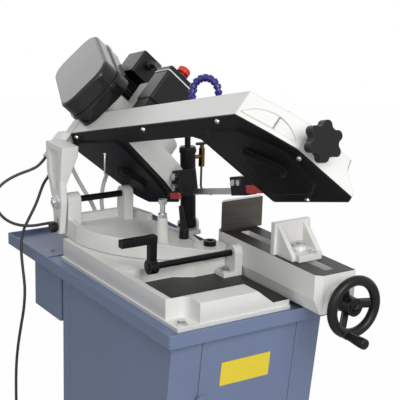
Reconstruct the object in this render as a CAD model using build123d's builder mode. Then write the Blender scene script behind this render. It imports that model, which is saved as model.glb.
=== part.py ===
"""Metal cutting band saw on a cabinet stand: a canted bow with its blade hinges on a swivelling arm
above a vise. Millimetres, +Z up, the floor at z = 0. X runs along the workpiece and Y to the rear."""
import os
from math import atan2, cos, pi, radians, sin, sqrt, tan

from build123d import *

# Stand: a folded cabinet whose front leans back to the floor, a drip tray and a coolant tank.
CABINET_W = 370
CABINET_FRONT_Y = -238
CABINET_REAR_Y = 236
CABINET_LEAN = 0.11
SEAM_IN = 34
SEAM_W = 2
WALL = 3
TRAY_W = 400
TRAY_FRONT_Y = -255
TRAY_SEAM_Y = 340
TRAY_REAR_Y = 508
TRAY_RIM_Z = 700
TRAY_BAND = 28
TRAY_DEPTH = 10
TRAY_SHEET = 2.5
LAP_W = 50
LAP_T = 2
SPIGOT_R = 6.5
SPIGOT_H = 13
ELBOW_L = 13
ELBOW_TILT = 30
HOSE_A_AT = (-22, 372)
HOSE_B_AT = (10, 388)
TANK_W = 240
TANK_FRONT_Y = 250
TANK_DEPTH = 140
TANK_H = 118
DOOR_X = 5
DOOR_W = 236
DOOR_H = 588
DOOR_DROP = 6
DOOR_GAP = 1.5
HINGE_R = 4
HINGE_L = 44
HINGE_LEAF = 18
LATCH_R = 16
PLATE_SIZE = (122, 54)
PLATE_DROP = 112
PLATE_T = 0.8

# Base casting that carries the swivel arm, with a sunk floor in front.
BASE_LEFT = -160
BASE_RIGHT = 112
BASE_FRONT_Y = -221
BASE_REAR_Y = 285
BASE_H = 51
PLINTH_H = 8
PLINTH_STEP = 4
PIT_RIM = 52
PIT_SIDE = 14
PIT_REAR_Y = 12
PIT_FLOOR = 20
PIT_STEP = 22
PILLAR_W = 34
PILLAR_T = 20
PILLAR_FOOT = (48, 10)
NOTCH = 50
NOTCH_R = 18
RIM_END_TOP_X = 31
RIM_END_LOW_X = 70
BASE_BOLT_R = 9
BASE_BOLT_H = 9

# Vise: bed, jaws, lead screw and handwheel.
BED_W = 96
BED_FRONT_Y = -312
BED_REAR_Y = 60
BED_TOP_Z = 787
BED_H = 84
BED_FACET = 30
BED_CORNER = 12
END_PLATE_R = 26
END_PLATE_T = 5
SLOT_W = 22
SLOT_FRONT = 26
SLOT_REAR = 46
SLOT_FLOOR = 70
JAW_H = 70
JAW_T = 12
FIXED_JAW_RIGHT = 221
JAW_CLEAR = 4.5
FIXED_JAW_Y = 34
MOVING_JAW_Y = -146
MOVING_JAW_W = 94
JAW_FOOT_L = 78
JAW_FOOT_T = 14
GUSSET_T = 11
SCREW_R = 8
SCREW_DROP = 54
NUT_L = 40
WHEEL_GAP = 44
HANDWHEEL_R = 66
RIM_TUBE_R = 10.5
HUB_R = 19
HUB_L = 34
SPOKE_W = 21
DISH = 12
CRANK_L = 52
CRANK_R = 11
CRANK_PIN_R = 5
CRANK_CAP = 6
CRANK_ANGLE = -110
STOP_Y = -31
STOP_DROP = 27
STOP_ROD_R = 7
STOP_ROD_END_X = -122
STOP_ARM_X = -110
STOP_ARM_RISE = 69
STOP_BAR_L = 84
STOP_BAR_T = 17
STOP_HUB_R = 16

# Swivel arm on the base, with the two uprights of the bow hinge.
SWIVEL_X = 70
SWIVEL_Y = 20
SWIVEL_HUB_R = 38
SWIVEL_PIN_R = 12
SWIVEL_PIN_HEAD_R = 14
ARM_LIFT = 1
ARM_FLOOR_T = 22
ARM_EAR_T = 10
ARM_WALL_H = 41
ARM_HUB_H = 24
ARM_WALL_T = 13
PIVOT_Y = 305
PIVOT_Z = 825
PIVOT_R = 7.5
UPRIGHT_R = 18
UPRIGHT_LEFT = (-146, -112)
SWIVEL_SIDE_X = -150
UPRIGHT_RIGHT = (2, 26)
CONE_AT = (-15, 85)
CONE_TOP_Z = 825
CONE_R = (18, 11)
STOP_BOLT_R = 6
STOP_BOLT_RISE = 41
ARM_GLAND_X = -95
ARM_GLAND_Z = 757
ARM_GLAND_L = 16
LOCK_AT = (50, 96)
LOCK_R = 11
LOCK_H = 22
LOCK_LEVER_L = 62

# Bow: its own frame starts on the blade line. u runs forward, v to the spine and t out of the covers.
BLADE_X = 84
BLADE_Y = 63
BLADE_Z = 878
BOW_RAISE = 14
BOW_CANT = 45
SPINE_V = 245
STRIP_V = 198
LOWER_V = -14
COVER_T = 20
COVER_SHEET = 3
FRAME_BACK = 38
FRAME_WALL = 6
FRAME_WEB = 12
TOE = (122, 40)
CRESCENT = (120, 30, 4)
REAR_WHEEL_U = -192
FRONT_WHEEL_U = 373
WHEEL_R = 104
WHEEL_W = 18
WHEEL_FACE_T = 4
AXLE_R = 12
PANEL_RISE = 4
BOSS_RISE = 8
PRESS_TAPER = 35
BLADE_W = 13
BLADE_T = 0.9
REAR_GUIDE_U = -83
FRONT_GUIDE_U = 149
GUIDE_L = 56
GUIDE_SLOT = 2.4
TWIST_MARGIN = 6
GUARD_W = 14
GUARD_T = 4
GUARD_SIDE = 16
GUARD_DROP = 6
FRONT_GUARD_L = 54
GUIDE_BOLT_R = 9
GUIDE_BOLT_H = 7
COVER_SCREW_R = 5.5
COVER_SCREW_H = 4
ARM_X = (-165, -124)
ARM_LEG_W = 15
ARM_LEG_TOP = 40
ARM_HEAD_H = 132
ARM_POCKET = 8
BLOCK_T = 70
HEAD_RISE = 12
GLAND_R = 8
GLAND_L = 18
MOTOR_GLAND_AT = (-313, 245)
HOSE_A_TOP = (-100, 372, 920)
HOSE_B_ROOT = (-304, 100.6, -10)
KNOB_R = 39
LOBE_R = 10
KNOB_CONE = 10
KNOB_T = 18
KNOB_AT = (127, -8)
KNOB_U = 520
GEARBOX_R = 64
GEARBOX_L = 58
MOTOR_AT = (-326, -150)
MOTOR_R = 62
MOTOR_V = (92, 243)
BELT_CENTRE = (-274, -117)
BELT_SIZE = (275, 146)
BELT_ANGLE = 31
BELT_CORNER = 44
BELT_SEAM_V = 281
BELT_TOP_V = 320
BELT_LIP = 4
BELT_LIP_H = 9
TERMINAL_BOX = (88, 59, 46)
TERMINAL_AT = (-285, 194)
SWITCH_BOX = (63, 86, 76)
SWITCH_AT = (-23, 199)
SWITCH_FOOT = (50, 36, 32)
GASKET_T = 3
LID_T = 12
ESTOP_R = 15
ESTOP_H = 14
ESTOP_TRAVEL = 6
ESTOP_COLLAR = 10
ESTOP_STEM_R = 8

# Feed cylinder between the swivel arm and the bow.
CYLINDER_X = 118
CYLINDER_Y = 186
CYLINDER_Z = 764
CYLINDER_R = 18
CYLINDER_L = 172
CYLINDER_PIN_R = 5
TOP_PIN_Y = 200
TOP_PIN_Z = 1012
ROD_R = 7
TOP_EYE_R = 9.6
RELIEF = (10, 66)

# Clearances: running fits, gaps between curved faces, and the slide of flat faces.
RUN = 0.05
APART = 0.3
SLIDE = 0.2

TRAY_FLOOR_Z = TRAY_RIM_Z - TRAY_DEPTH
TRAY_LOW_Z = TRAY_RIM_Z - TRAY_BAND
TRAY_UNDER_Z = TRAY_FLOOR_Z - TRAY_SHEET
BASE_TOP_Z = TRAY_FLOOR_Z + BASE_H
PIT_Z = TRAY_FLOOR_Z + PIT_FLOOR
ARM_Z = BASE_TOP_Z + ARM_LIFT
ARM_TOP_Z = ARM_Z + ARM_WALL_H
HUB_TOP_Z = ARM_Z + ARM_HUB_H
SCREW_Z = BED_TOP_Z - SCREW_DROP
STOP_Z = BED_TOP_Z - STOP_DROP
STOP_BOLT_TOP_Z = CONE_TOP_Z + STOP_BOLT_RISE
BED_X = BASE_RIGHT + BED_W / 2
BED_LOW_Z = BED_TOP_Z - BED_H
HANDWHEEL_Y = BED_FRONT_Y - WHEEL_GAP

raise_angle = radians(BOW_RAISE)
cant = radians(BOW_CANT)
BOW = Plane(
    origin=(BLADE_X, BLADE_Y, BLADE_Z),
    x_dir=(0, -cos(raise_angle), sin(raise_angle)),
    z_dir=(-cos(cant), -sin(cant) * sin(raise_angle), -sin(cant) * cos(raise_angle)),
)


def bow_point(u, v, t):
    """A point of the bow in the machine's frame."""
    return BOW.from_local_coords((u, v, t))


def across(u, v=0, t=0):
    """A plane across the bow that faces forward; its sketch runs to the spine and out of the covers."""
    return Plane(origin=bow_point(u, v, t), x_dir=BOW.y_dir, z_dir=BOW.x_dir)


def over(v, u=0, t=0):
    """A plane that faces the spine side; its sketch runs forward and to the back of the bow."""
    return Plane(origin=bow_point(u, v, t), x_dir=BOW.x_dir, z_dir=BOW.y_dir)


def facing(x, y, z):
    """A plane that faces the front of the machine, towards -Y; its sketch runs along X and Z."""
    return Plane(origin=(x, y, z), x_dir=(1, 0, 0), z_dir=(0, -1, 0))


def beside(x, y, z):
    """A plane that faces +X; its sketch runs along Y and Z."""
    return Plane(origin=(x, y, z), x_dir=(0, 1, 0), z_dir=(1, 0, 0))


def level(z, x=0, y=0):
    """A level plane at a height."""
    return Plane(origin=(x, y, z))


os.makedirs("parts", exist_ok=True)


def keep(builder, label):
    """Name a finished piece and write its STEP file."""
    builder.part.label = label
    export_step(builder.part, f"parts/{label}.step")


# Cabinet: a folded sheet box, open at the top under the tray, with a doorway in its leaning front.
cabinet_h = TRAY_LOW_Z
low_front_y = CABINET_FRONT_Y + CABINET_LEAN * cabinet_h
lean = atan2(CABINET_LEAN, 1)
FRONT = Plane(
    origin=(0, CABINET_FRONT_Y, TRAY_LOW_Z), x_dir=(1, 0, 0), z_dir=(0, -cos(lean), -sin(lean))
)
door_v = -DOOR_DROP - DOOR_H / 2
with BuildPart() as cabinet:
    with BuildSketch(beside(-CABINET_W / 2, 0, 0)):
        with BuildLine():
            Polyline(
                (CABINET_FRONT_Y, TRAY_LOW_Z),
                (CABINET_FRONT_Y, TRAY_UNDER_Z),
                (CABINET_REAR_Y, TRAY_UNDER_Z),
                (CABINET_REAR_Y, 0),
                (low_front_y, 0),
                close=True,
            )
        make_face()
    extrude(amount=CABINET_W)
    with BuildSketch(beside(-CABINET_W / 2 + WALL, 0, 0)):
        with BuildLine():
            Polyline(
                (CABINET_FRONT_Y + WALL, TRAY_LOW_Z),
                (CABINET_FRONT_Y + WALL, TRAY_UNDER_Z),
                (CABINET_REAR_Y - WALL, TRAY_UNDER_Z),
                (CABINET_REAR_Y - WALL, WALL),
                (low_front_y + WALL, WALL),
                close=True,
            )
        make_face()
    extrude(amount=CABINET_W - 2 * WALL, mode=Mode.SUBTRACT)
    with BuildSketch(FRONT):
        with Locations((DOOR_X, door_v)):
            RectangleRounded(DOOR_W, DOOR_H, 6)
    extrude(amount=-4 * WALL, mode=Mode.SUBTRACT)
    for side in (-1, 1):
        with BuildSketch(beside(side * CABINET_W / 2, CABINET_REAR_Y - SEAM_IN, TRAY_LOW_Z / 2)):
            Rectangle(SEAM_W, TRAY_LOW_Z)
        extrude(amount=-side * WALL / 2, mode=Mode.SUBTRACT)
keep(cabinet, "cabinet")

# Door: a flat panel with turned-in edges, hung on two barrel hinges at its left edge.
with BuildPart() as door:
    with BuildSketch(FRONT):
        with Locations((DOOR_X, door_v)):
            RectangleRounded(DOOR_W - 2 * DOOR_GAP, DOOR_H - 2 * DOOR_GAP, 5)
    extrude(amount=-WALL)
    with BuildSketch(FRONT.offset(-WALL)):
        with Locations((DOOR_X, door_v)):
            Rectangle(DOOR_W - 50, DOOR_H - 30)
            Rectangle(DOOR_W - 56, DOOR_H - 36, mode=Mode.SUBTRACT)
    extrude(amount=-12)
    hinge_x = DOOR_X - DOOR_W / 2
    for hinge_v in (door_v - DOOR_H / 4, door_v + DOOR_H / 4):
        hinge_foot = FRONT.from_local_coords((hinge_x, hinge_v - HINGE_L / 2, HINGE_R + APART))
        with BuildSketch(Plane(origin=hinge_foot, x_dir=(1, 0, 0), z_dir=FRONT.y_dir)):
            Circle(HINGE_R)
        extrude(amount=HINGE_L)
        with BuildSketch(FRONT):
            with Locations((hinge_x + HINGE_R + HINGE_LEAF / 2 - 2, hinge_v)):
                Rectangle(HINGE_LEAF, HINGE_L)
        extrude(amount=HINGE_R)
keep(door, "door")

# Door latch: a round turn with a coin slot, near the free edge.
latch_x = DOOR_X + DOOR_W / 2 - 40
with BuildPart() as latch:
    with BuildSketch(FRONT.offset(SLIDE)):
        with Locations((latch_x, door_v)):
            Circle(LATCH_R)
    extrude(amount=7)
    fillet(latch.faces().sort_by_distance(FRONT.from_local_coords((latch_x, door_v, 60)))[0].edges(), 2)
    with BuildSketch(FRONT.offset(7 + SLIDE)):
        with Locations((latch_x, door_v)):
            SlotOverall(LATCH_R * 1.4, 4)
    extrude(amount=-3, mode=Mode.SUBTRACT)
keep(latch, "door_latch")

# Plain yellow plate on the door, without words.
with BuildPart() as plate:
    with BuildSketch(FRONT):
        with Locations((0, -PLATE_DROP + 20)):
            RectangleRounded(*PLATE_SIZE, 2)
    extrude(amount=PLATE_T)
keep(plate, "notice_plate")

# Drip tray: a shallow pan with a deep rim band.
tray_mid_y = (TRAY_FRONT_Y + TRAY_SEAM_Y) / 2
tray_l = TRAY_SEAM_Y - TRAY_FRONT_Y
with BuildPart() as tray:
    with BuildSketch(level(TRAY_LOW_Z, 0, tray_mid_y)):
        Rectangle(TRAY_W, tray_l)
    extrude(amount=TRAY_BAND)
    fillet(tray.edges().filter_by(Axis.Z).group_by(Axis.Y)[0], 6)
    with BuildSketch(level(TRAY_RIM_Z, 0, tray_mid_y + TRAY_SHEET)):
        Rectangle(TRAY_W - 2 * TRAY_SHEET, tray_l)
    extrude(amount=-TRAY_DEPTH, mode=Mode.SUBTRACT)
    with BuildSketch(level(TRAY_LOW_Z, 0, tray_mid_y)):
        Rectangle(TRAY_W - 2 * TRAY_SHEET, tray_l - 2 * TRAY_SHEET)
    extrude(amount=TRAY_BAND - TRAY_DEPTH - TRAY_SHEET, mode=Mode.SUBTRACT)
keep(tray, "tray")

# Rear pan with the lap strip that joins the two, two round-head bolts and two hose spigots.
rear_l = TRAY_REAR_Y - TRAY_SEAM_Y
rear_mid_y = (TRAY_SEAM_Y + TRAY_REAR_Y) / 2
with BuildPart() as rear_tray:
    with BuildSketch(level(TRAY_LOW_Z, 0, rear_mid_y)):
        Rectangle(TRAY_W, rear_l)
    extrude(amount=TRAY_BAND)
    with BuildSketch(level(TRAY_RIM_Z, 0, rear_mid_y - TRAY_SHEET)):
        Rectangle(TRAY_W - 2 * TRAY_SHEET, rear_l)
    extrude(amount=-TRAY_DEPTH, mode=Mode.SUBTRACT)
    with BuildSketch(level(TRAY_LOW_Z, 0, rear_mid_y)):
        Rectangle(TRAY_W - 2 * TRAY_SHEET, rear_l - 2 * TRAY_SHEET)
    extrude(amount=TRAY_BAND - TRAY_DEPTH - TRAY_SHEET, mode=Mode.SUBTRACT)
    with BuildSketch(level(TRAY_FLOOR_Z, 0, TRAY_SEAM_Y)):
        Rectangle(TRAY_W - 4 * TRAY_SHEET, LAP_W)
    extrude(amount=LAP_T)
    with BuildSketch(level(TRAY_FLOOR_Z + LAP_T, 0, TRAY_SEAM_Y + LAP_W / 4)):
        with GridLocations(TRAY_W - 90, 1, 2, 1):
            Circle(6)
    extrude(amount=4, taper=25)
    with BuildSketch(level(TRAY_FLOOR_Z)):
        with Locations(HOSE_A_AT, HOSE_B_AT):
            Circle(SPIGOT_R)
    extrude(amount=SPIGOT_H)
keep(rear_tray, "rear_tray")

# Coolant tank hung under the rear of the tray.
with BuildPart() as tank:
    with BuildSketch(level(TRAY_LOW_Z - TANK_H, (TANK_W - CABINET_W) / 2, TANK_FRONT_Y + TANK_DEPTH / 2)):
        RectangleRounded(TANK_W, TANK_DEPTH, 5)
    extrude(amount=TANK_H)
    with BuildSketch(level(TRAY_LOW_Z, (TANK_W - CABINET_W) / 2, TANK_FRONT_Y + TANK_DEPTH / 2)):
        RectangleRounded(TANK_W - 2 * WALL, TANK_DEPTH - 2 * WALL, 3)
    extrude(amount=WALL - TANK_H, mode=Mode.SUBTRACT)
keep(tank, "coolant_tank")

# Base casting: broad rims round a sunk floor, a bolt notch in the front corner and a swivel boss.
base_w = BASE_RIGHT - BASE_LEFT
base_l = BASE_REAR_Y - BASE_FRONT_Y
base_mid = ((BASE_LEFT + BASE_RIGHT) / 2, (BASE_FRONT_Y + BASE_REAR_Y) / 2)
with BuildPart() as base:
    with BuildSketch(level(TRAY_FLOOR_Z, *base_mid)):
        Rectangle(base_w, base_l)
    extrude(amount=BASE_H)
    with BuildSketch(level(BASE_TOP_Z)):
        with BuildLine():
            Polyline(
                (BASE_LEFT + PIT_SIDE, BASE_FRONT_Y + PIT_RIM),
                (BASE_RIGHT, BASE_FRONT_Y + PIT_RIM),
                (BASE_RIGHT, PIT_REAR_Y - PIT_STEP),
                (SWIVEL_X - 60, PIT_REAR_Y - PIT_STEP),
                (SWIVEL_X - 100, PIT_REAR_Y),
                (BASE_LEFT + PIT_SIDE, PIT_REAR_Y),
                close=True,
            )
        make_face()
    extrude(amount=PIT_FLOOR - BASE_H, mode=Mode.SUBTRACT)
    with BuildSketch(level(BASE_TOP_Z, BASE_LEFT, BASE_FRONT_Y)):
        RectangleRounded(2 * NOTCH, 2 * NOTCH, NOTCH_R)
    extrude(amount=PLINTH_H - BASE_H, mode=Mode.SUBTRACT)
    with BuildSketch(facing(0, BASE_FRONT_Y, 0)):
        with BuildLine():
            Polyline(
                (RIM_END_TOP_X, BASE_TOP_Z),
                (RIM_END_LOW_X, PIT_Z),
                (BASE_RIGHT, PIT_Z),
                (BASE_RIGHT, BASE_TOP_Z),
                close=True,
            )
        make_face()
    extrude(amount=-PIT_RIM, mode=Mode.SUBTRACT)
    with BuildSketch(level(TRAY_FLOOR_Z, base_mid[0] - PLINTH_STEP / 2, base_mid[1])):
        Rectangle(base_w + PLINTH_STEP, base_l + 2 * PLINTH_STEP)
    extrude(amount=PLINTH_H)
    with BuildSketch(level(BASE_TOP_Z, SWIVEL_X, SWIVEL_Y)):
        Circle(SWIVEL_PIN_R + RUN)
    extrude(amount=-BASE_H, mode=Mode.SUBTRACT)
keep(base, "base_casting")

# Hex bolts: one holds the base to the tray, in the front notch, and one the foot of the bed's pillar.
notch_mid = NOTCH / 3
with BuildPart() as base_bolts:
    with BuildSketch(level(TRAY_FLOOR_Z + PLINTH_H)):
        with Locations((BASE_LEFT + notch_mid, BASE_FRONT_Y + notch_mid)):
            RegularPolygon(BASE_BOLT_R, 6)
    extrude(amount=BASE_BOLT_H)
    with BuildSketch(level(PIT_Z + PILLAR_FOOT[1])):
        with Locations((BASE_RIGHT - (PILLAR_T + PILLAR_FOOT[0]) / 2, STOP_Y)):
            RegularPolygon(BASE_BOLT_R, 6)
    extrude(amount=BASE_BOLT_H)
keep(base_bolts, "base_bolts")

# Vise bed: a long casting with a machined top, a slot for the lead screw, an arched end plate and a
# pillar for the stop rod, whose foot is bolted to the base's sunk floor.
with BuildPart() as bed:
    with BuildSketch(facing(BED_X, BED_FRONT_Y, BED_TOP_Z)):
        with BuildLine():
            Polyline(
                (-BED_W / 2, 0),
                (BED_W / 2, 0),
                (BED_W / 2, -BED_H),
                (-BED_W / 2 + 10, -BED_H),
                (-BED_W / 2, -BED_H + BED_FACET),
                close=True,
            )
        make_face()
    extrude(amount=BED_FRONT_Y - BED_REAR_Y)
    with BuildSketch(level(BED_LOW_Z)):
        with BuildLine():
            Polyline(
                (BASE_RIGHT, BED_REAR_Y - BED_CORNER),
                (BASE_RIGHT, BED_REAR_Y),
                (BASE_RIGHT + BED_CORNER, BED_REAR_Y),
                close=True,
            )
        make_face()
        with BuildLine():
            Polyline(
                (BASE_RIGHT, BED_FRONT_Y + BED_CORNER),
                (BASE_RIGHT, BED_FRONT_Y),
                (BASE_RIGHT + BED_CORNER, BED_FRONT_Y),
                close=True,
            )
        make_face()
    extrude(amount=BED_H, mode=Mode.SUBTRACT)
    with BuildSketch(level(BED_TOP_Z, BED_X, (BED_FRONT_Y + SLOT_FRONT + BED_REAR_Y - SLOT_REAR) / 2)):
        Rectangle(SLOT_W, BED_REAR_Y - BED_FRONT_Y - SLOT_FRONT - SLOT_REAR)
    extrude(amount=-SLOT_FLOOR, mode=Mode.SUBTRACT)
    with BuildSketch(facing(BED_X, BED_FRONT_Y, SCREW_Z)):
        Circle(SCREW_R + RUN)
    extrude(amount=BED_FRONT_Y - BED_REAR_Y, mode=Mode.SUBTRACT)
    with BuildSketch(beside(BASE_RIGHT, STOP_Y, PIT_Z)):
        with Locations((0, (STOP_Z - PIT_Z) / 2)):
            Rectangle(PILLAR_W, STOP_Z - PIT_Z)
        with Locations((0, STOP_Z - PIT_Z)):
            Circle(PILLAR_W / 2)
    extrude(amount=-PILLAR_T)
    with BuildSketch(level(PIT_Z, BASE_RIGHT - PILLAR_FOOT[0] / 2, STOP_Y)):
        Rectangle(PILLAR_FOOT[0], PILLAR_W)
    extrude(amount=PILLAR_FOOT[1])
    with BuildSketch(beside(BASE_RIGHT, STOP_Y, STOP_Z)):
        Circle(STOP_ROD_R + RUN)
    extrude(amount=-PILLAR_T, mode=Mode.SUBTRACT)
    with BuildSketch(facing(BED_X, BED_FRONT_Y, SCREW_Z)):
        Circle(END_PLATE_R)
        with Locations((0, -END_PLATE_R / 2)):
            Rectangle(2 * END_PLATE_R, END_PLATE_R)
        Circle(SCREW_R + RUN, mode=Mode.SUBTRACT)
    extrude(amount=END_PLATE_T)
keep(bed, "vise_bed")

# Fixed jaw: a machined plate across the bed, bevelled where the blade passes at the 45 degree mitre.
mitre_x = FIXED_JAW_Y + SWIVEL_X - SWIVEL_Y + (BLADE_X - SWIVEL_X) * sqrt(2)
with BuildPart() as fixed_jaw:
    with BuildSketch(level(BED_TOP_Z)):
        with BuildLine():
            Polyline(
                (mitre_x + JAW_CLEAR, FIXED_JAW_Y),
                (FIXED_JAW_RIGHT, FIXED_JAW_Y),
                (FIXED_JAW_RIGHT, FIXED_JAW_Y + JAW_T),
                (mitre_x + JAW_CLEAR + JAW_T, FIXED_JAW_Y + JAW_T),
                close=True,
            )
        make_face()
    extrude(amount=JAW_H)
    with BuildSketch(beside(BED_X - GUSSET_T, FIXED_JAW_Y + JAW_T, BED_TOP_Z)):
        with BuildLine():
            Polyline((0, 0), (14, 0), (5, JAW_H - 12), (0, JAW_H - 12), close=True)
        make_face()
    extrude(amount=2 * GUSSET_T)
keep(fixed_jaw, "fixed_jaw")

# Movable jaw: upright plate, two gussets and a foot that slides on the bed, with a nut in the slot.
foot_y = MOVING_JAW_Y - JAW_FOOT_L
with BuildPart() as moving_jaw:
    with BuildSketch(facing(BED_X, MOVING_JAW_Y, BED_TOP_Z + SLIDE + JAW_H / 2)):
        Rectangle(MOVING_JAW_W, JAW_H)
    extrude(amount=JAW_T)
    with BuildSketch(level(BED_TOP_Z + SLIDE, BED_X, MOVING_JAW_Y - JAW_FOOT_L / 2)):
        Rectangle(MOVING_JAW_W - 34, JAW_FOOT_L)
    extrude(amount=JAW_FOOT_T)
    for side in (-1, 1):
        gusset_x = BED_X + side * (MOVING_JAW_W / 2 - GUSSET_T - 2) - GUSSET_T / 2
        with BuildSketch(beside(gusset_x, MOVING_JAW_Y, BED_TOP_Z + SLIDE)):
            with BuildLine():
                Polyline(
                    (-JAW_T, 0), (-JAW_T, JAW_H - 6), (-JAW_T - 8, JAW_H - 14), (-JAW_FOOT_L + 12, 10),
                    (-JAW_FOOT_L + 12, 0), close=True,
                )
            make_face()
        extrude(amount=GUSSET_T)
    with BuildSketch(level(BED_TOP_Z + SLIDE, BED_X, MOVING_JAW_Y - JAW_FOOT_L / 2)):
        Rectangle(SLOT_W - 2 * SLIDE, NUT_L)
    extrude(amount=-SCREW_DROP - 14)
    with BuildSketch(level(BED_TOP_Z + SLIDE + JAW_FOOT_T, BED_X, MOVING_JAW_Y - JAW_FOOT_L / 2)):
        Circle(17)
    extrude(amount=10, taper=20)
    with BuildSketch(facing(BED_X, foot_y - 20, SCREW_Z)):
        Circle(SCREW_R + APART)
    extrude(amount=-JAW_FOOT_L - 40, mode=Mode.SUBTRACT)
keep(moving_jaw, "moving_jaw")

# Hex bolts of the movable jaw: one on the dome and one on the foot.
jaw_bolt_z = BED_TOP_Z + SLIDE + JAW_FOOT_T
with BuildPart() as jaw_bolts:
    with BuildSketch(level(jaw_bolt_z + 10, BED_X, MOVING_JAW_Y - JAW_FOOT_L / 2)):
        RegularPolygon(9, 6)
    extrude(amount=8)
    with BuildSketch(level(jaw_bolt_z, BED_X + 12, foot_y + 9)):
        RegularPolygon(7, 6)
    extrude(amount=6)
keep(jaw_bolts, "jaw_bolts")

# Lead screw with its handwheel: a dished rim on three spokes and a crank grip that turns on its pin.
with BuildPart() as lead_screw:
    with BuildSketch(facing(BED_X, HANDWHEEL_Y - HUB_L / 2, SCREW_Z)):
        Circle(SCREW_R)
    extrude(amount=HANDWHEEL_Y - HUB_L / 2 - BED_REAR_Y + 6)
keep(lead_screw, "lead_screw")

WHEEL_FACE = facing(BED_X, HANDWHEEL_Y, SCREW_Z)
crank_x = (HANDWHEEL_R - 2) * cos(radians(CRANK_ANGLE))
crank_z = (HANDWHEEL_R - 2) * sin(radians(CRANK_ANGLE))
with BuildPart() as handwheel:
    with BuildSketch(Plane(origin=WHEEL_FACE.origin, x_dir=(1, 0, 0), z_dir=(0, 0, 1))):
        with Locations((HANDWHEEL_R - RIM_TUBE_R, -DISH)):
            Circle(RIM_TUBE_R)
    revolve(axis=Axis(WHEEL_FACE.origin, (0, 1, 0)))
    with BuildSketch(WHEEL_FACE.offset(-HUB_L / 2)):
        Circle(HUB_R)
    extrude(amount=HUB_L)
    for spoke in (0, 120, 240):
        spoke_dir = Vector(cos(radians(spoke)), 0, sin(radians(spoke)))
        start = WHEEL_FACE.origin + spoke_dir * (HUB_R - 5) + Vector(0, 4, 0)
        end = WHEEL_FACE.origin + spoke_dir * (HANDWHEEL_R - RIM_TUBE_R) + Vector(0, -DISH, 0)
        with BuildSketch(Plane(origin=start, x_dir=(0, 1, 0), z_dir=end - start)):
            Ellipse(4, SPOKE_W / 2)
        extrude(amount=(end - start).length)
    with BuildSketch(WHEEL_FACE.offset(DISH)):
        with Locations((crank_x * 0.9, crank_z * 0.9)):
            Circle(9)
    extrude(amount=RIM_TUBE_R + 1)
    with BuildSketch(WHEEL_FACE.offset(HUB_L)):
        Circle(SCREW_R + RUN)
    extrude(amount=-2 * HUB_L, mode=Mode.SUBTRACT)
    with BuildSketch(WHEEL_FACE.offset(DISH)):
        with Locations((crank_x * 0.9, crank_z * 0.9)):
            Circle(CRANK_PIN_R)
    extrude(amount=RIM_TUBE_R + CRANK_L - CRANK_CAP)
keep(handwheel, "handwheel")

grip_base = DISH + RIM_TUBE_R + 1.5
with BuildPart() as crank_grip:
    with BuildSketch(WHEEL_FACE.offset(grip_base)):
        with Locations((crank_x * 0.9, crank_z * 0.9)):
            Circle(CRANK_R - 3)
    with BuildSketch(WHEEL_FACE.offset(grip_base + CRANK_L * 0.7)):
        with Locations((crank_x * 0.9, crank_z * 0.9)):
            Circle(CRANK_R)
    loft()
    with BuildSketch(WHEEL_FACE.offset(grip_base + CRANK_L * 0.7)):
        with Locations((crank_x * 0.9, crank_z * 0.9)):
            Circle(CRANK_R)
    extrude(amount=CRANK_L * 0.3)
    fillet(crank_grip.edges().group_by(Axis.Y)[0], 4)
    with BuildSketch(WHEEL_FACE.offset(grip_base)):
        with Locations((crank_x * 0.9, crank_z * 0.9)):
            Circle(CRANK_PIN_R + RUN)
    extrude(amount=CRANK_L - CRANK_CAP, mode=Mode.SUBTRACT)
keep(crank_grip, "crank_grip")

# Work stop: a round rod in the bed's boss, and a bent arm that slides along it.
with BuildPart() as stop_rod:
    with BuildSketch(beside(STOP_ROD_END_X, STOP_Y, STOP_Z)):
        Circle(STOP_ROD_R)
    extrude(amount=BASE_RIGHT - 2 - STOP_ROD_END_X)
    chamfer(stop_rod.edges(), 1)
keep(stop_rod, "stop_rod")

with BuildPart() as stop_arm:
    with BuildSketch(beside(STOP_ARM_X - 9, STOP_Y, STOP_Z)):
        Circle(STOP_HUB_R)
    extrude(amount=18)
    with BuildSketch(level(STOP_Z, STOP_ARM_X, STOP_Y)):
        RectangleRounded(STOP_BAR_T, STOP_BAR_T, 2)
    extrude(amount=STOP_ARM_RISE)
    with BuildSketch(beside(STOP_ARM_X + STOP_BAR_T / 2, STOP_Y, STOP_Z + STOP_ARM_RISE - STOP_BAR_T / 2)):
        RectangleRounded(STOP_BAR_T, STOP_BAR_T, 2)
    extrude(amount=-STOP_BAR_L)
    with BuildSketch(facing(STOP_ARM_X, STOP_Y - STOP_HUB_R + 2, STOP_Z)):
        RegularPolygon(6, 6)
    extrude(amount=9)
    with BuildSketch(beside(STOP_ARM_X - 40, STOP_Y, STOP_Z)):
        Circle(STOP_ROD_R + RUN)
    extrude(amount=80, mode=Mode.SUBTRACT)
keep(stop_arm, "stop_arm")

# Swivel arm: a walled casting that narrows to its pin, with two uprights, a stop cone and an ear.
with BuildSketch() as arm_outline:
    with BuildLine():
        Polyline(
            (SWIVEL_X - 2, SWIVEL_Y + 38),
            (SWIVEL_X + 10, SWIVEL_Y + 100),
            (UPRIGHT_RIGHT[1] + 16, PIVOT_Y + 26),
            (UPRIGHT_LEFT[0], PIVOT_Y + 26),
            (UPRIGHT_LEFT[0], PIVOT_Y - 22),
            (SWIVEL_SIDE_X, PIVOT_Y - 66),
        )
        ThreePointArc(
            (SWIVEL_SIDE_X, PIVOT_Y - 66),
            (SWIVEL_X - 178, SWIVEL_Y + 92),
            (SWIVEL_X - 80, SWIVEL_Y + 6),
        )
        Polyline(
            (SWIVEL_X - 80, SWIVEL_Y + 6),
            (SWIVEL_X - 12, SWIVEL_Y - 36),
            (SWIVEL_X - 2, SWIVEL_Y + 38),
        )
    make_face()

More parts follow.
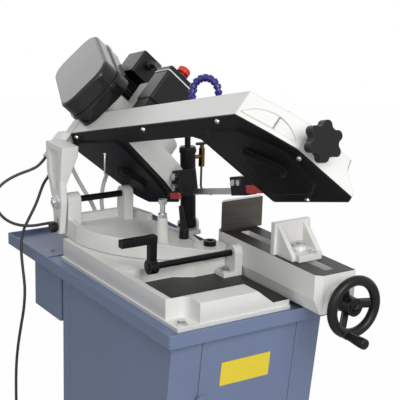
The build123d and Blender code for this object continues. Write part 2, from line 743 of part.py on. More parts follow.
arm_gland_dir = Vector(-1, 1, 0).normalized()
arm_gland_root = Vector(ARM_GLAND_X, PIVOT_Y + 26, ARM_GLAND_Z) - arm_gland_dir * (ARM_WALL_T / 2)
with BuildPart() as swivel_arm:
    with BuildSketch(level(ARM_Z)):
        add(arm_outline.sketch)
    extrude(amount=ARM_WALL_H)
    with BuildSketch(level(ARM_Z + ARM_FLOOR_T)):
        add(arm_outline.sketch)
        offset(amount=-ARM_WALL_T, mode=Mode.REPLACE)
    extrude(amount=ARM_WALL_H, mode=Mode.SUBTRACT)
    with BuildSketch(facing(0, SWIVEL_Y - 60, 0)):
        with BuildLine():
            Polyline(
                (SWIVEL_X - 150, ARM_TOP_Z),
                (SWIVEL_X - SWIVEL_HUB_R, HUB_TOP_Z),
                (SWIVEL_X + 60, HUB_TOP_Z),
                (SWIVEL_X + 60, ARM_TOP_Z + 1),
                (SWIVEL_X - 150, ARM_TOP_Z + 1),
                close=True,
            )
        make_face()
    extrude(amount=SWIVEL_Y - 60 - PIVOT_Y + 56, mode=Mode.SUBTRACT)
    with BuildSketch(level(ARM_Z, SWIVEL_X, SWIVEL_Y)):
        Circle(SWIVEL_HUB_R)
    extrude(amount=ARM_HUB_H)
    for low_x, high_x in (UPRIGHT_LEFT, UPRIGHT_RIGHT):
        with BuildSketch(beside(low_x, PIVOT_Y, PIVOT_Z)):
            Circle(UPRIGHT_R)
            with Locations((0, (ARM_Z - PIVOT_Z) / 2)):
                Rectangle(2 * UPRIGHT_R, PIVOT_Z - ARM_Z)
        extrude(amount=high_x - low_x)
    with BuildSketch(level(ARM_Z, *CONE_AT)):
        Circle(CONE_R[0])
    with BuildSketch(level(CONE_TOP_Z, *CONE_AT)):
        Circle(CONE_R[1])
    loft()
    with BuildSketch(level(ARM_Z, CYLINDER_X - 12, CYLINDER_Y)):
        Rectangle(70, 40)
    extrude(amount=ARM_EAR_T)
    for lug_x in (CYLINDER_X - 22, CYLINDER_X + 16):
        with BuildSketch(beside(lug_x, CYLINDER_Y, CYLINDER_Z)):
            Circle(13)
            with Locations((0, (ARM_Z - CYLINDER_Z) / 2)):
                Rectangle(26, CYLINDER_Z - ARM_Z)
        extrude(amount=6)
    with BuildSketch(Plane(origin=arm_gland_root, z_dir=arm_gland_dir)):
        Circle(GLAND_R - 1)
    extrude(amount=ARM_GLAND_L + ARM_WALL_T / 2)
    with BuildSketch(level(ARM_Z, SWIVEL_X, SWIVEL_Y)):
        Circle(SWIVEL_PIN_R + RUN)
    extrude(amount=ARM_HUB_H, mode=Mode.SUBTRACT)
    with BuildSketch(beside(UPRIGHT_LEFT[0], PIVOT_Y, PIVOT_Z)):
        Circle(PIVOT_R + RUN)
    extrude(amount=UPRIGHT_RIGHT[1] - UPRIGHT_LEFT[0], mode=Mode.SUBTRACT)
    with BuildSketch(level(CONE_TOP_Z, *CONE_AT)):
        Circle(STOP_BOLT_R + RUN)
    extrude(amount=-40, mode=Mode.SUBTRACT)
    with BuildSketch(beside(CYLINDER_X - 30, CYLINDER_Y, CYLINDER_Z)):
        Circle(CYLINDER_PIN_R + RUN)
    extrude(amount=60, mode=Mode.SUBTRACT)
    with BuildSketch(level(ARM_Z, *LOCK_AT)):
        Circle(LOCK_R - 5 + RUN)
    extrude(amount=ARM_FLOOR_T, mode=Mode.SUBTRACT)
keep(swivel_arm, "swivel_arm")

# Swivel pin: a black bolt through the arm's hub into the base.
with BuildPart() as swivel_pin:
    with BuildSketch(level(TRAY_FLOOR_Z, SWIVEL_X, SWIVEL_Y)):
        Circle(SWIVEL_PIN_R)
    extrude(amount=HUB_TOP_Z - TRAY_FLOOR_Z + SLIDE)
    with BuildSketch(level(HUB_TOP_Z + SLIDE, SWIVEL_X, SWIVEL_Y)):
        Circle(SWIVEL_PIN_HEAD_R)
    extrude(amount=11)
    with BuildSketch(level(HUB_TOP_Z + SLIDE + 11, SWIVEL_X, SWIVEL_Y)):
        RegularPolygon(8, 6)
    extrude(amount=-7, mode=Mode.SUBTRACT)
keep(swivel_pin, "swivel_pin")

# Stop bolt with its lock nut on the cone: it halts the bow at the end of the cut.
with BuildPart() as stop_bolt:
    with BuildSketch(level(CONE_TOP_Z - 40, *CONE_AT)):
        Circle(STOP_BOLT_R)
    extrude(amount=STOP_BOLT_TOP_Z - 9 - CONE_TOP_Z + 40)
    with BuildSketch(level(CONE_TOP_Z, *CONE_AT)):
        RegularPolygon(11, 6)
    extrude(amount=8)
    with BuildSketch(level(STOP_BOLT_TOP_Z - 9, *CONE_AT)):
        RegularPolygon(11, 6)
    extrude(amount=9)
keep(stop_bolt, "stop_bolt")

# Swivel lock: a stud with a hex nut and a black hand lever.
with BuildPart() as lock_lever:
    with BuildSketch(level(ARM_Z + 1, *LOCK_AT)):
        Circle(LOCK_R - 5)
    extrude(amount=ARM_FLOOR_T)
    with BuildSketch(level(ARM_Z + ARM_FLOOR_T + SLIDE, *LOCK_AT)):
        Circle(LOCK_R)
    extrude(amount=LOCK_H)
    lever_base = Vector(LOCK_AT[0], LOCK_AT[1], ARM_Z + ARM_FLOOR_T + LOCK_H - 8)
    lever_dir = Vector(-0.12, 0.1, 1).normalized()
    with BuildSketch(Plane(origin=lever_base, x_dir=(0, 1, 0), z_dir=lever_dir)):
        RectangleRounded(15, 12, 3)
    with BuildSketch(Plane(origin=lever_base + lever_dir * LOCK_LEVER_L, x_dir=(0, 1, 0), z_dir=lever_dir)):
        RectangleRounded(9, 8, 3)
    loft()
keep(lock_lever, "lock_lever")

# Outline shared by the bow casting and its cover: two wheel wings under one spine.
rear_u = REAR_WHEEL_U
front_u = FRONT_WHEEL_U
with BuildSketch() as bow_outline:
    with BuildLine():
        Polyline(
            (rear_u - 73, SPINE_V),
            (front_u + 45, SPINE_V),
            (front_u + 89, SPINE_V - 56),
            (front_u + 123, SPINE_V - 105),
            (front_u + 142, LOWER_V + 12),
            (front_u + 123, LOWER_V),
            (front_u - 114, LOWER_V),
            (front_u - 139, STRIP_V - 10),
            (front_u - 160, STRIP_V),
            (rear_u + 134, STRIP_V),
            (rear_u + 108, LOWER_V + 71),
            (rear_u + 78, LOWER_V),
            (rear_u - 63, LOWER_V),
            (rear_u - 90, LOWER_V + 24),
            (rear_u - 107, LOWER_V + 75),
            (rear_u - 136, SPINE_V - 55),
            close=True,
        )
    make_face()
    fillet(bow_outline.vertices(), 7)

# Bow casting: a rim and a back web round the wheels, open in front, with the blade's way cut through.
wheel_v = WHEEL_R + APART + BLADE_T / 2
frame_t = COVER_T - COVER_SHEET
web_t = FRAME_WEB - FRAME_BACK
TAKE_UP = 8
SLIDE_SLOT_W = 2 * AXLE_R + 4
SLIDE_BLOCK = (96, 70, 22)
RAIL_W = 16
foot_point = Vector(CYLINDER_X, CYLINDER_Y, CYLINDER_Z)
top_point = Vector(CYLINDER_X, TOP_PIN_Y, TOP_PIN_Z)
feed_dir = (top_point - foot_point).normalized()
feed_l = (top_point - foot_point).length
BODY_START = 14


def up_cylinder(distance):
    """A plane across the feed cylinder at a distance from its foot pin."""
    return Plane(origin=foot_point + feed_dir * distance, x_dir=(1, 0, 0), z_dir=feed_dir)


hose_b_root = bow_point(*HOSE_B_ROOT)
hose_b_bend = hose_b_root - BOW.x_dir * ELBOW_L
hose_b_dir = Vector(0, sin(radians(ELBOW_TILT)), -cos(radians(ELBOW_TILT)))
crescent_dir = (bow_point(front_u + 89, SPINE_V - 56, 0) - bow_point(front_u + 45, SPINE_V, 0)).normalized()
crescent_out = BOW.z_dir.cross(crescent_dir)
crescent_at = bow_point(front_u + 84, SPINE_V - 50, 8)
crescent_r = (CRESCENT[0] ** 2 / 4 + CRESCENT[1] ** 2) / (2 * CRESCENT[1])
with BuildPart() as bow_frame:
    with BuildSketch(BOW.offset(-FRAME_BACK)):
        add(bow_outline.sketch)
    extrude(amount=FRAME_BACK + frame_t)
    with BuildSketch(BOW.offset(web_t)):
        add(bow_outline.sketch)
        offset(amount=-FRAME_WALL, mode=Mode.REPLACE)
    extrude(amount=frame_t - web_t, mode=Mode.SUBTRACT)
    with BuildSketch(across(rear_u - 200)):
        with BuildLine():
            Polyline(
                (LOWER_V - 1, -FRAME_BACK - 1),
                (LOWER_V + 25, -FRAME_BACK - 1),
                (LOWER_V - 1, -FRAME_BACK + 22),
                close=True,
            )
        make_face()
    extrude(amount=front_u - rear_u + 400, mode=Mode.SUBTRACT)
    with BuildSketch(BOW.offset(-FRAME_BACK)):
        add(bow_outline.sketch)
        with Locations((front_u + TOE[0], LOWER_V)):
            Rectangle(2 * TOE[1], 2 * TOE[1], mode=Mode.INTERSECT)
    extrude(amount=FRAME_BACK + frame_t)
    with BuildSketch(BOW.offset(-FRAME_BACK - 1)):
        Polygon(
            (front_u + 60, LOWER_V - 4),
            (front_u + 170, LOWER_V - 4),
            (front_u + 128, LOWER_V + 66),
            align=None,
        )
    with BuildSketch(BOW.offset(frame_t - 4)):
        Polygon(
            (front_u + 132, LOWER_V - 4),
            (front_u + 170, LOWER_V - 4),
            (front_u + 150, LOWER_V + 20),
            align=None,
        )
    loft(mode=Mode.SUBTRACT)
    with BuildSketch(Plane(origin=crescent_at, x_dir=crescent_dir, z_dir=crescent_out)):
        with Locations((0, CRESCENT[1] - crescent_r)):
            Circle(crescent_r)
        with Locations((0, crescent_r)):
            Rectangle(2 * crescent_r, 2 * crescent_r, mode=Mode.INTERSECT)
    extrude(amount=-CRESCENT[2], mode=Mode.SUBTRACT)
    with BuildSketch(across(rear_u + 60)):
        Rectangle(18, 18)
    extrude(amount=front_u - rear_u - 140, mode=Mode.SUBTRACT)
    with BuildSketch(BOW.offset(-FRAME_BACK)):
        with Locations((rear_u, wheel_v)):
            Circle(AXLE_R + RUN)
        with Locations((front_u - TAKE_UP / 2, wheel_v)):
            SlotOverall(SLIDE_SLOT_W + TAKE_UP, SLIDE_SLOT_W)
    extrude(amount=FRAME_WEB, mode=Mode.SUBTRACT)
    with BuildSketch(across(front_u + 60, *KNOB_AT)):
        Circle(6 + RUN)
    extrude(amount=120, mode=Mode.SUBTRACT)
    with BuildSketch(across(front_u - 180, 28, -20.5)):
        Rectangle(20 + 2 * SLIDE, 9 + 2 * SLIDE)
    extrude(amount=100, mode=Mode.SUBTRACT)
    with BuildSketch(BOW.offset(-FRAME_BACK)):
        with Locations((front_u - TAKE_UP / 2, wheel_v)):
            with GridLocations(1, SLIDE_BLOCK[1] + RAIL_W + 2 * SLIDE, 1, 2):
                Rectangle(SLIDE_BLOCK[0] + 14, RAIL_W)
    extrude(amount=-SLIDE_BLOCK[2] - 4)
    with BuildSketch(up_cylinder(0)):
        SlotOverall(2 * CYLINDER_R + RELIEF[1], 2 * CYLINDER_R + RELIEF[0], rotation=90)
    extrude(amount=feed_l, mode=Mode.SUBTRACT)
    with BuildSketch(Plane(origin=hose_b_root, x_dir=BOW.y_dir, z_dir=-BOW.x_dir)):
        Circle(SPIGOT_R)
    extrude(amount=ELBOW_L)
    with Locations(hose_b_bend):
        Sphere(SPIGOT_R)
    with BuildSketch(Plane(origin=hose_b_bend, x_dir=(1, 0, 0), z_dir=hose_b_dir)):
        Circle(SPIGOT_R)
    extrude(amount=ELBOW_L)
keep(bow_frame, "bow_frame")

# Blade cover: one black sheet over both wheels, with a raised panel and a boss pressed over each wheel.
rear_panel = (
    (rear_u - 70, SPINE_V - 25), (rear_u + 108, SPINE_V - 40), (rear_u + 88, LOWER_V + 84),
    (rear_u + 62, LOWER_V + 22), (rear_u - 28, LOWER_V + 22), (rear_u - 40, LOWER_V + 76),
    (rear_u - 112, SPINE_V - 70),
)
rear_boss = (
    (rear_u - 50, LOWER_V + 138), (rear_u + 12, LOWER_V + 134), (rear_u + 42, LOWER_V + 76),
    (rear_u + 6, LOWER_V + 44), (rear_u - 22, LOWER_V + 52),
)
front_panel = (
    (front_u - 92, SPINE_V - 33), (front_u + 14, SPINE_V - 38), (front_u + 88, LOWER_V + 150),
    (front_u + 84, LOWER_V + 58), (front_u + 40, LOWER_V + 26), (front_u - 86, LOWER_V + 26),
    (front_u - 112, LOWER_V + 190),
)
front_boss = (
    (front_u - 30, LOWER_V + 182), (front_u + 54, LOWER_V + 108), (front_u + 22, LOWER_V + 82),
    (front_u - 54, LOWER_V + 76), (front_u - 56, LOWER_V + 146),
)
with BuildPart() as blade_cover:
    with BuildSketch(BOW.offset(frame_t)):
        add(bow_outline.sketch)
    extrude(amount=COVER_SHEET)
    for rise, corner, spots in (
        (PANEL_RISE, 22, rear_panel),
        (PANEL_RISE, 22, front_panel),
        (PANEL_RISE + BOSS_RISE, 17, rear_boss),
        (PANEL_RISE + BOSS_RISE, 17, front_boss),
    ):
        with BuildSketch(BOW.offset(COVER_T)) as pressing:
            Polygon(*spots, align=None)
            fillet(pressing.vertices(), corner)
        extrude(amount=rise, taper=PRESS_TAPER)
    for spots in (rear_panel, front_panel):
        with BuildSketch(BOW.offset(frame_t)) as hollow:
            Polygon(*spots, align=None)
            fillet(hollow.vertices(), 16)
            offset(amount=-COVER_SHEET - PANEL_RISE, mode=Mode.REPLACE)
        extrude(amount=PANEL_RISE, mode=Mode.SUBTRACT)
keep(blade_cover, "blade_cover")

# Blade wheels: a rim, a web with three windows and a hub. The rear one is driven by its shaft.
with BuildPart() as drive_wheel:
    with BuildSketch(BOW.offset(WHEEL_FACE_T - WHEEL_W)):
        with Locations((rear_u, wheel_v)):
            Circle(WHEEL_R)
    extrude(amount=WHEEL_W)
    with BuildSketch(BOW.offset(WHEEL_FACE_T)):
        with Locations((rear_u, wheel_v)):
            Circle(WHEEL_R - 12)
            Circle(AXLE_R + 14, mode=Mode.SUBTRACT)
    extrude(amount=-5, mode=Mode.SUBTRACT)
    with BuildSketch(BOW.offset(WHEEL_FACE_T)):
        with Locations((rear_u, wheel_v)):
            with PolarLocations((WHEEL_R + AXLE_R) / 2, 3):
                Circle(20)
    extrude(amount=-WHEEL_W, mode=Mode.SUBTRACT)
    with BuildSketch(BOW.offset(WHEEL_FACE_T - WHEEL_W)):
        with Locations((rear_u, wheel_v)):
            Circle(AXLE_R)
    extrude(amount=-FRAME_BACK - 30 - WHEEL_FACE_T + WHEEL_W)
keep(drive_wheel, "drive_wheel")

with BuildPart() as idler_wheel:
    with BuildSketch(BOW.offset(WHEEL_FACE_T - WHEEL_W)):
        with Locations((front_u, wheel_v)):
            Circle(WHEEL_R)
    extrude(amount=WHEEL_W)
    with BuildSketch(BOW.offset(WHEEL_FACE_T)):
        with Locations((front_u, wheel_v)):
            Circle(WHEEL_R - 12)
            Circle(AXLE_R + 14, mode=Mode.SUBTRACT)
    extrude(amount=-5, mode=Mode.SUBTRACT)
    with BuildSketch(BOW.offset(WHEEL_FACE_T)):
        with Locations((front_u, wheel_v)):
            Circle(AXLE_R + RUN)
            with PolarLocations((WHEEL_R + AXLE_R) / 2, 3):
                Circle(20)
    extrude(amount=-WHEEL_W, mode=Mode.SUBTRACT)
keep(idler_wheel, "idler_wheel")

# Tension slide: a block behind the casting that carries the idler's axle, moved by the star knob.
with BuildPart() as tension_slide:
    with BuildSketch(BOW.offset(-FRAME_BACK - SLIDE)):
        with Locations((front_u, wheel_v)):
            RectangleRounded(SLIDE_BLOCK[0], SLIDE_BLOCK[1], 6)
    extrude(amount=-SLIDE_BLOCK[2])
    with BuildSketch(BOW.offset(-FRAME_BACK - SLIDE)):
        with Locations((front_u, wheel_v)):
            Circle(AXLE_R)
    extrude(amount=FRAME_BACK + SLIDE + WHEEL_FACE_T + 2)
    with BuildSketch(BOW.offset(WHEEL_FACE_T + SLIDE)):
        with Locations((front_u, wheel_v)):
            Circle(AXLE_R + 3)
    extrude(amount=2)
    with BuildSketch(BOW.offset(web_t + SLIDE)):
        with Locations((front_u, wheel_v)):
            Circle(AXLE_R + 5)
    extrude(amount=WHEEL_FACE_T - WHEEL_W - web_t - 2 * SLIDE)
keep(tension_slide, "tension_slide")

# Star knob of six soft lobes with a coned back, on a threaded stud through the front wall.
with BuildPart() as star_knob:
    with BuildSketch(across(KNOB_U + KNOB_CONE, *KNOB_AT)) as knob_star:
        Circle(KNOB_R - LOBE_R)
        with PolarLocations(KNOB_R - LOBE_R, 6):
            Circle(LOBE_R)
        fillet(knob_star.vertices(), LOBE_R - 2)
    extrude(amount=KNOB_T)
    with BuildSketch(across(KNOB_U, *KNOB_AT)):
        Circle(KNOB_R - 22)
    with BuildSketch(across(KNOB_U + KNOB_CONE, *KNOB_AT)):
        Circle(KNOB_R - LOBE_R - 3)
    loft()
    with BuildSketch(across(KNOB_U, *KNOB_AT)):
        Circle(15)
    extrude(amount=-8)
    with BuildSketch(across(KNOB_U - 8, *KNOB_AT)):
        Circle(6)
    extrude(amount=-26)
keep(star_knob, "star_knob")

# Band blade: a closed loop round both wheels, turned upright by the guides where it cuts.
upper_v = 2 * wheel_v
upright_rear_u = REAR_GUIDE_U - GUIDE_L / 2 - TWIST_MARGIN
upright_front_u = FRONT_GUIDE_U + GUIDE_L / 2 + TWIST_MARGIN
with BuildPart() as blade:
    with BuildSketch(BOW.offset(-BLADE_W / 2)):
        with Locations((rear_u, wheel_v)):
            Circle(wheel_v + BLADE_T / 2)
            Circle(wheel_v - BLADE_T / 2, mode=Mode.SUBTRACT)
        with Locations((rear_u + WHEEL_R, wheel_v)):
            Rectangle(2 * WHEEL_R, 4 * WHEEL_R, mode=Mode.SUBTRACT)
    extrude(amount=BLADE_W)
    with BuildSketch(BOW.offset(-BLADE_W / 2)):
        with Locations((front_u, wheel_v)):
            Circle(wheel_v + BLADE_T / 2)
            Circle(wheel_v - BLADE_T / 2, mode=Mode.SUBTRACT)
        with Locations((front_u - WHEEL_R, wheel_v)):
            Rectangle(2 * WHEEL_R, 4 * WHEEL_R, mode=Mode.SUBTRACT)
    extrude(amount=BLADE_W)
    with BuildSketch(across(rear_u, upper_v)):
        Rectangle(BLADE_T, BLADE_W)
    extrude(amount=front_u - rear_u)
    with BuildSketch(across(upright_rear_u)):
        Rectangle(BLADE_T, BLADE_W, rotation=BOW_CANT)
    extrude(amount=upright_front_u - upright_rear_u)
    with BuildSketch(across(rear_u)):
        Rectangle(BLADE_T, BLADE_W)
    with BuildSketch(across(upright_rear_u)):
        Rectangle(BLADE_T, BLADE_W, rotation=BOW_CANT)
    loft(ruled=True)
    with BuildSketch(across(upright_front_u)):
        Rectangle(BLADE_T, BLADE_W, rotation=BOW_CANT)
    with BuildSketch(across(front_u)):
        Rectangle(BLADE_T, BLADE_W)
    loft(ruled=True)
keep(blade, "blade")
print("blade length mm", round(2 * (front_u - rear_u) + 2 * pi * wheel_v))

# Blade guides: slotted blocks that stand upright on the blade; the front one slides on a bar.
GUIDE_W = 28
GUIDE_PROUD = 18
GUIDE_RISE = 60
FRONT_RISE = 40
GUIDE_LOW = -9
GUIDE_SLOT_TOP = BLADE_W / 2 + 2.5
up_v = cos(cant)
up_t = -sin(cant)
side_v = sin(cant)
side_t = cos(cant)
guide_mid = GUIDE_LOW + GUIDE_RISE / 2
front_mid = GUIDE_LOW + FRONT_RISE / 2
slot_h = GUIDE_SLOT_TOP - GUIDE_LOW + 0.2
slot_mid = GUIDE_SLOT_TOP - slot_h / 2
with BuildPart() as rear_guide:
    with BuildSketch(across(REAR_GUIDE_U - GUIDE_L / 2)):
        with Locations((up_v * guide_mid, up_t * guide_mid)):
            Rectangle(GUIDE_RISE, GUIDE_W, rotation=-BOW_CANT)
        with Locations(
            (up_v * guide_mid + side_v * GUIDE_PROUD / 2, up_t * guide_mid + side_t * GUIDE_PROUD / 2)
        ):
            Rectangle(GUIDE_RISE, GUIDE_W + GUIDE_PROUD, rotation=-BOW_CANT)
        with Locations((up_v * slot_mid, up_t * slot_mid)):
            Rectangle(slot_h, GUIDE_SLOT, rotation=-BOW_CANT, mode=Mode.SUBTRACT)
    extrude(amount=GUIDE_L)
    with BuildSketch(across(rear_u + 70, 30, -20)):
        Rectangle(22, 12)
    extrude(amount=REAR_GUIDE_U - rear_u - 75)
    with BuildSketch(BOW.offset(-FRAME_BACK)):
        add(bow_outline.sketch)
    extrude(amount=FRAME_BACK + COVER_T, mode=Mode.SUBTRACT)
keep(rear_guide, "rear_guide")

BAR_L = 170
with BuildPart() as front_guide:
    with BuildSketch(across(FRONT_GUIDE_U - GUIDE_L / 2)):
        with Locations((up_v * front_mid, up_t * front_mid)):
            Rectangle(FRONT_RISE, GUIDE_W, rotation=-BOW_CANT)
        with Locations((up_v * slot_mid, up_t * slot_mid)):
            Rectangle(slot_h, GUIDE_SLOT, rotation=-BOW_CANT, mode=Mode.SUBTRACT)
    extrude(amount=GUIDE_L)
    with BuildSketch(across(FRONT_GUIDE_U + GUIDE_L / 2 - 8, 28, -20.5)):
        Rectangle(20, 9)
    extrude(amount=BAR_L)
keep(front_guide, "front_guide")

# Red guards beside the blade at each guide, and the silver bolts of the guides.
with BuildPart() as rear_guard:
    with BuildSketch(across(REAR_GUIDE_U - GUIDE_L / 2 + 14)):
        with Locations(
            (
                side_v * (GUARD_SIDE + GUIDE_PROUD) - up_v * GUARD_DROP,
                side_t * (GUARD_SIDE + GUIDE_PROUD) - up_t * GUARD_DROP,
            )
        ):
            Rectangle(GUARD_W, GUARD_T, rotation=-BOW_CANT)
    extrude(amount=GUIDE_L - 16)
keep(rear_guard, "rear_guard")

with BuildPart() as front_guard:
    with BuildSketch(across(FRONT_GUIDE_U + GUIDE_L / 2)):
        with Locations((side_v * (GUARD_SIDE - 5) + up_v * 4, side_t * (GUARD_SIDE - 5) + up_t * 4)):
            Rectangle(GUARD_W + 3, GUARD_T, rotation=-BOW_CANT)
    extrude(amount=FRONT_GUARD_L)
keep(front_guard, "front_guard")

outward = BOW.z_dir * side_t + BOW.y_dir * side_v


def guide_side(guide_u, middle, outer):
    """The plane of a guide's left face, whose sketch runs forward and up."""
    side_point = bow_point(guide_u, up_v * middle + side_v * outer, up_t * middle + side_t * outer)
    return Plane(origin=side_point, x_dir=BOW.x_dir, z_dir=outward)


with BuildPart() as front_bolts:
    with BuildSketch(guide_side(FRONT_GUIDE_U, front_mid, GUIDE_W / 2)):
        with Locations((-10, FRONT_RISE / 2 - 12), (10, FRONT_RISE / 2 - 12)):
            RegularPolygon(GUIDE_BOLT_R - 2, 6)
    extrude(amount=GUIDE_BOLT_H)
keep(front_bolts, "front_guide_bolts")

# Silver screws of the bow: those of the cover and the two bolts of the rear guide.
with BuildPart() as bow_screws:
    with BuildSketch(BOW.offset(COVER_T)):
        with Locations(
            (rear_u - 58, SPINE_V - 12),
            (rear_u + 260, SPINE_V - 10),
            (front_u - 22, SPINE_V - 10),
            (front_u + 108, SPINE_V - 128),
            (front_u + 8, LOWER_V + 9),
        ):
            Circle(COVER_SCREW_R)
    extrude(amount=COVER_SCREW_H, taper=12)
    with BuildSketch(guide_side(REAR_GUIDE_U, guide_mid, GUIDE_W / 2 + GUIDE_PROUD)):
        with Locations((10, GUIDE_RISE / 2 - 14), (6, -8)):
            RegularPolygon(GUIDE_BOLT_R, 6)
    extrude(amount=GUIDE_BOLT_H)
keep(bow_screws, "bow_screws")

# Rear arm of the bow: a channel casting clamped on the pivot shaft, with a slotted lower end.
# Its head laps round the bow's rear corner and carries a cable gland and a hose spigot.
arm_w = ARM_X[1] - ARM_X[0]
with BuildPart() as rear_arm:
    with BuildSketch(beside(ARM_X[0], PIVOT_Y, PIVOT_Z)):
        with BuildLine():
            Polyline(
                (-27, ARM_HEAD_H), (58, ARM_HEAD_H), (52, 60), (26, 0), (14, -76), (-10, -76), (-22, 0), (-16, 50),
                close=True,
            )
        make_face()
    extrude(amount=arm_w)
    with BuildSketch(facing(ARM_X[0], PIVOT_Y - 2 * ARM_HEAD_H, PIVOT_Z)):
        with BuildLine():
            Polyline(
                (arm_w, ARM_HEAD_H - 24),
                (ARM_LEG_W, ARM_LEG_TOP),
                (ARM_LEG_W, -ARM_HEAD_H),
                (arm_w + 1, -ARM_HEAD_H),
                (arm_w + 1, ARM_HEAD_H - 24),
                close=True,
            )
        make_face()
    extrude(amount=-4 * ARM_HEAD_H, mode=Mode.SUBTRACT)
    with BuildSketch(beside(ARM_X[0], PIVOT_Y, PIVOT_Z)):
        with BuildLine():
            Polyline((-6, ARM_HEAD_H - 14), (44, ARM_HEAD_H - 14), (38, 62), (18, 28), (-4, 28), close=True)
        make_face()
    extrude(amount=ARM_POCKET, mode=Mode.SUBTRACT)
    with BuildSketch(BOW.offset(-FRAME_BACK)):
        with BuildLine():
            Polyline(
                (rear_u - 73, SPINE_V),
                (rear_u - 136, SPINE_V - 55),
                (rear_u - 160, SPINE_V - 42),
                (rear_u - 112, SPINE_V),
                close=True,
            )
        make_face()
    extrude(amount=FRAME_BACK + BLOCK_T)
    with BuildSketch(BOW.offset(COVER_T)):
        with BuildLine():
            Polyline(
                (rear_u - 73, SPINE_V),
                (rear_u - 136, SPINE_V - 55),
                (rear_u - 160, SPINE_V - 30),
                (rear_u - 124, SPINE_V + HEAD_RISE),
                (rear_u - 86, SPINE_V + HEAD_RISE),
                close=True,
            )
        make_face()
    extrude(amount=BLOCK_T - COVER_T)
    with BuildSketch(BOW.offset(BLOCK_T)):
        with Locations(MOTOR_GLAND_AT):
            Circle(GLAND_R)
    extrude(amount=GLAND_L)
    with BuildSketch(level(HOSE_A_TOP[2], *HOSE_A_TOP[:2])):
        Circle(SPIGOT_R)
    extrude(amount=28)
    with BuildSketch(BOW.offset(-FRAME_BACK)):
        add(bow_outline.sketch)
    extrude(amount=FRAME_BACK + COVER_T, mode=Mode.SUBTRACT)
    with BuildSketch(beside(ARM_X[0] - 1, PIVOT_Y, PIVOT_Z)):
        Circle(PIVOT_R + RUN)
        with Locations((1, -52)):
            SlotOverall(30, 9, rotation=90)
    extrude(amount=arm_w + 40, mode=Mode.SUBTRACT)
keep(rear_arm, "rear_arm")

# Pivot shaft of the bow, black, with a hex head outside the arm.
with BuildPart() as pivot_shaft:
    with BuildSketch(beside(ARM_X[0] - 2, PIVOT_Y, PIVOT_Z)):
        Circle(PIVOT_R)
    extrude(amount=UPRIGHT_RIGHT[1] - ARM_X[0] + 6)
    with BuildSketch(beside(ARM_X[0], PIVOT_Y, PIVOT_Z)):
        RegularPolygon(13, 6)
    extrude(amount=-9)
keep(pivot_shaft, "pivot_shaft")

# Clamp knob on a screw through the arm's slot.
with BuildPart() as clamp_knob:
    with BuildSketch(beside(ARM_X[0] - 2, PIVOT_Y + 1, PIVOT_Z - 60)):
        Circle(12)
    extrude(amount=-16)
    fillet(clamp_knob.edges(), 3)
    with BuildSketch(beside(ARM_X[0] - 3, PIVOT_Y + 1, PIVOT_Z - 60)):
        Circle(4)
    extrude(amount=ARM_LEG_W + 5)
keep(clamp_knob, "clamp_knob")

# Gearbox behind the drive wheel: a round case, a worm housing and the feed lugs.
HOUSING_U = (-235, -150)
HOUSING_V = (70, 190)
HOUSING_T = (-FRAME_BACK - 4, -178)
WORM_AT = (-222, -89)
WORM_R = 30
belt_low_v = SPINE_V + APART
with BuildPart() as gearbox:
    with BuildSketch(BOW.offset(-FRAME_BACK)):
        with Locations((rear_u, wheel_v)):
            Circle(GEARBOX_R)
    extrude(amount=-GEARBOX_L)
    with BuildSketch(BOW.offset(HOUSING_T[0])):
        with Locations((sum(HOUSING_U) / 2, sum(HOUSING_V) / 2)):
            RectangleRounded(HOUSING_U[1] - HOUSING_U[0], HOUSING_V[1] - HOUSING_V[0], 10)
    extrude(amount=HOUSING_T[1] - HOUSING_T[0])
    with BuildSketch(over(HOUSING_V[0])):
        with Locations((WORM_AT[0], -WORM_AT[1])):
            Circle(WORM_R)
    extrude(amount=belt_low_v - HOUSING_V[0])
    for lug_x in (CYLINDER_X - 20, CYLINDER_X + 14):
        with BuildSketch(beside(lug_x, TOP_PIN_Y, TOP_PIN_Z)):
            Circle(12)
            with Locations((32, 0)):
                Rectangle(64, 24)
        extrude(amount=6)
    with BuildSketch(beside(CYLINDER_X - 20, TOP_PIN_Y, TOP_PIN_Z)):
        Circle(CYLINDER_PIN_R)
    extrude(amount=40)
    with BuildSketch(BOW.offset(-FRAME_BACK)):
        with Locations((rear_u, wheel_v)):
            Circle(AXLE_R + RUN)
    extrude(amount=-34, mode=Mode.SUBTRACT)
keep(gearbox, "gearbox")

# Motor: a finned cylinder hung from the belt pan, with its fan cowl at the far end.
FIN_COUNT = 9
FIN_H = 5
with BuildPart() as motor:
    with BuildSketch(over(MOTOR_V[0])):
        with Locations((MOTOR_AT[0], -MOTOR_AT[1])):
            Circle(MOTOR_R - FIN_H)
    extrude(amount=belt_low_v - MOTOR_V[0])
    with BuildSketch(over(MOTOR_V[0])):
        with Locations((MOTOR_AT[0], -MOTOR_AT[1])):
            Circle(MOTOR_R)
    extrude(amount=34)
    with BuildSketch(over(MOTOR_V[0] + 40)):
        with Locations((MOTOR_AT[0], -MOTOR_AT[1])):
            with PolarLocations(MOTOR_R - 4, 4 * FIN_COUNT):
                Rectangle(8, 3)
    extrude(amount=MOTOR_V[1] - MOTOR_V[0] - 52)
keep(motor, "motor")

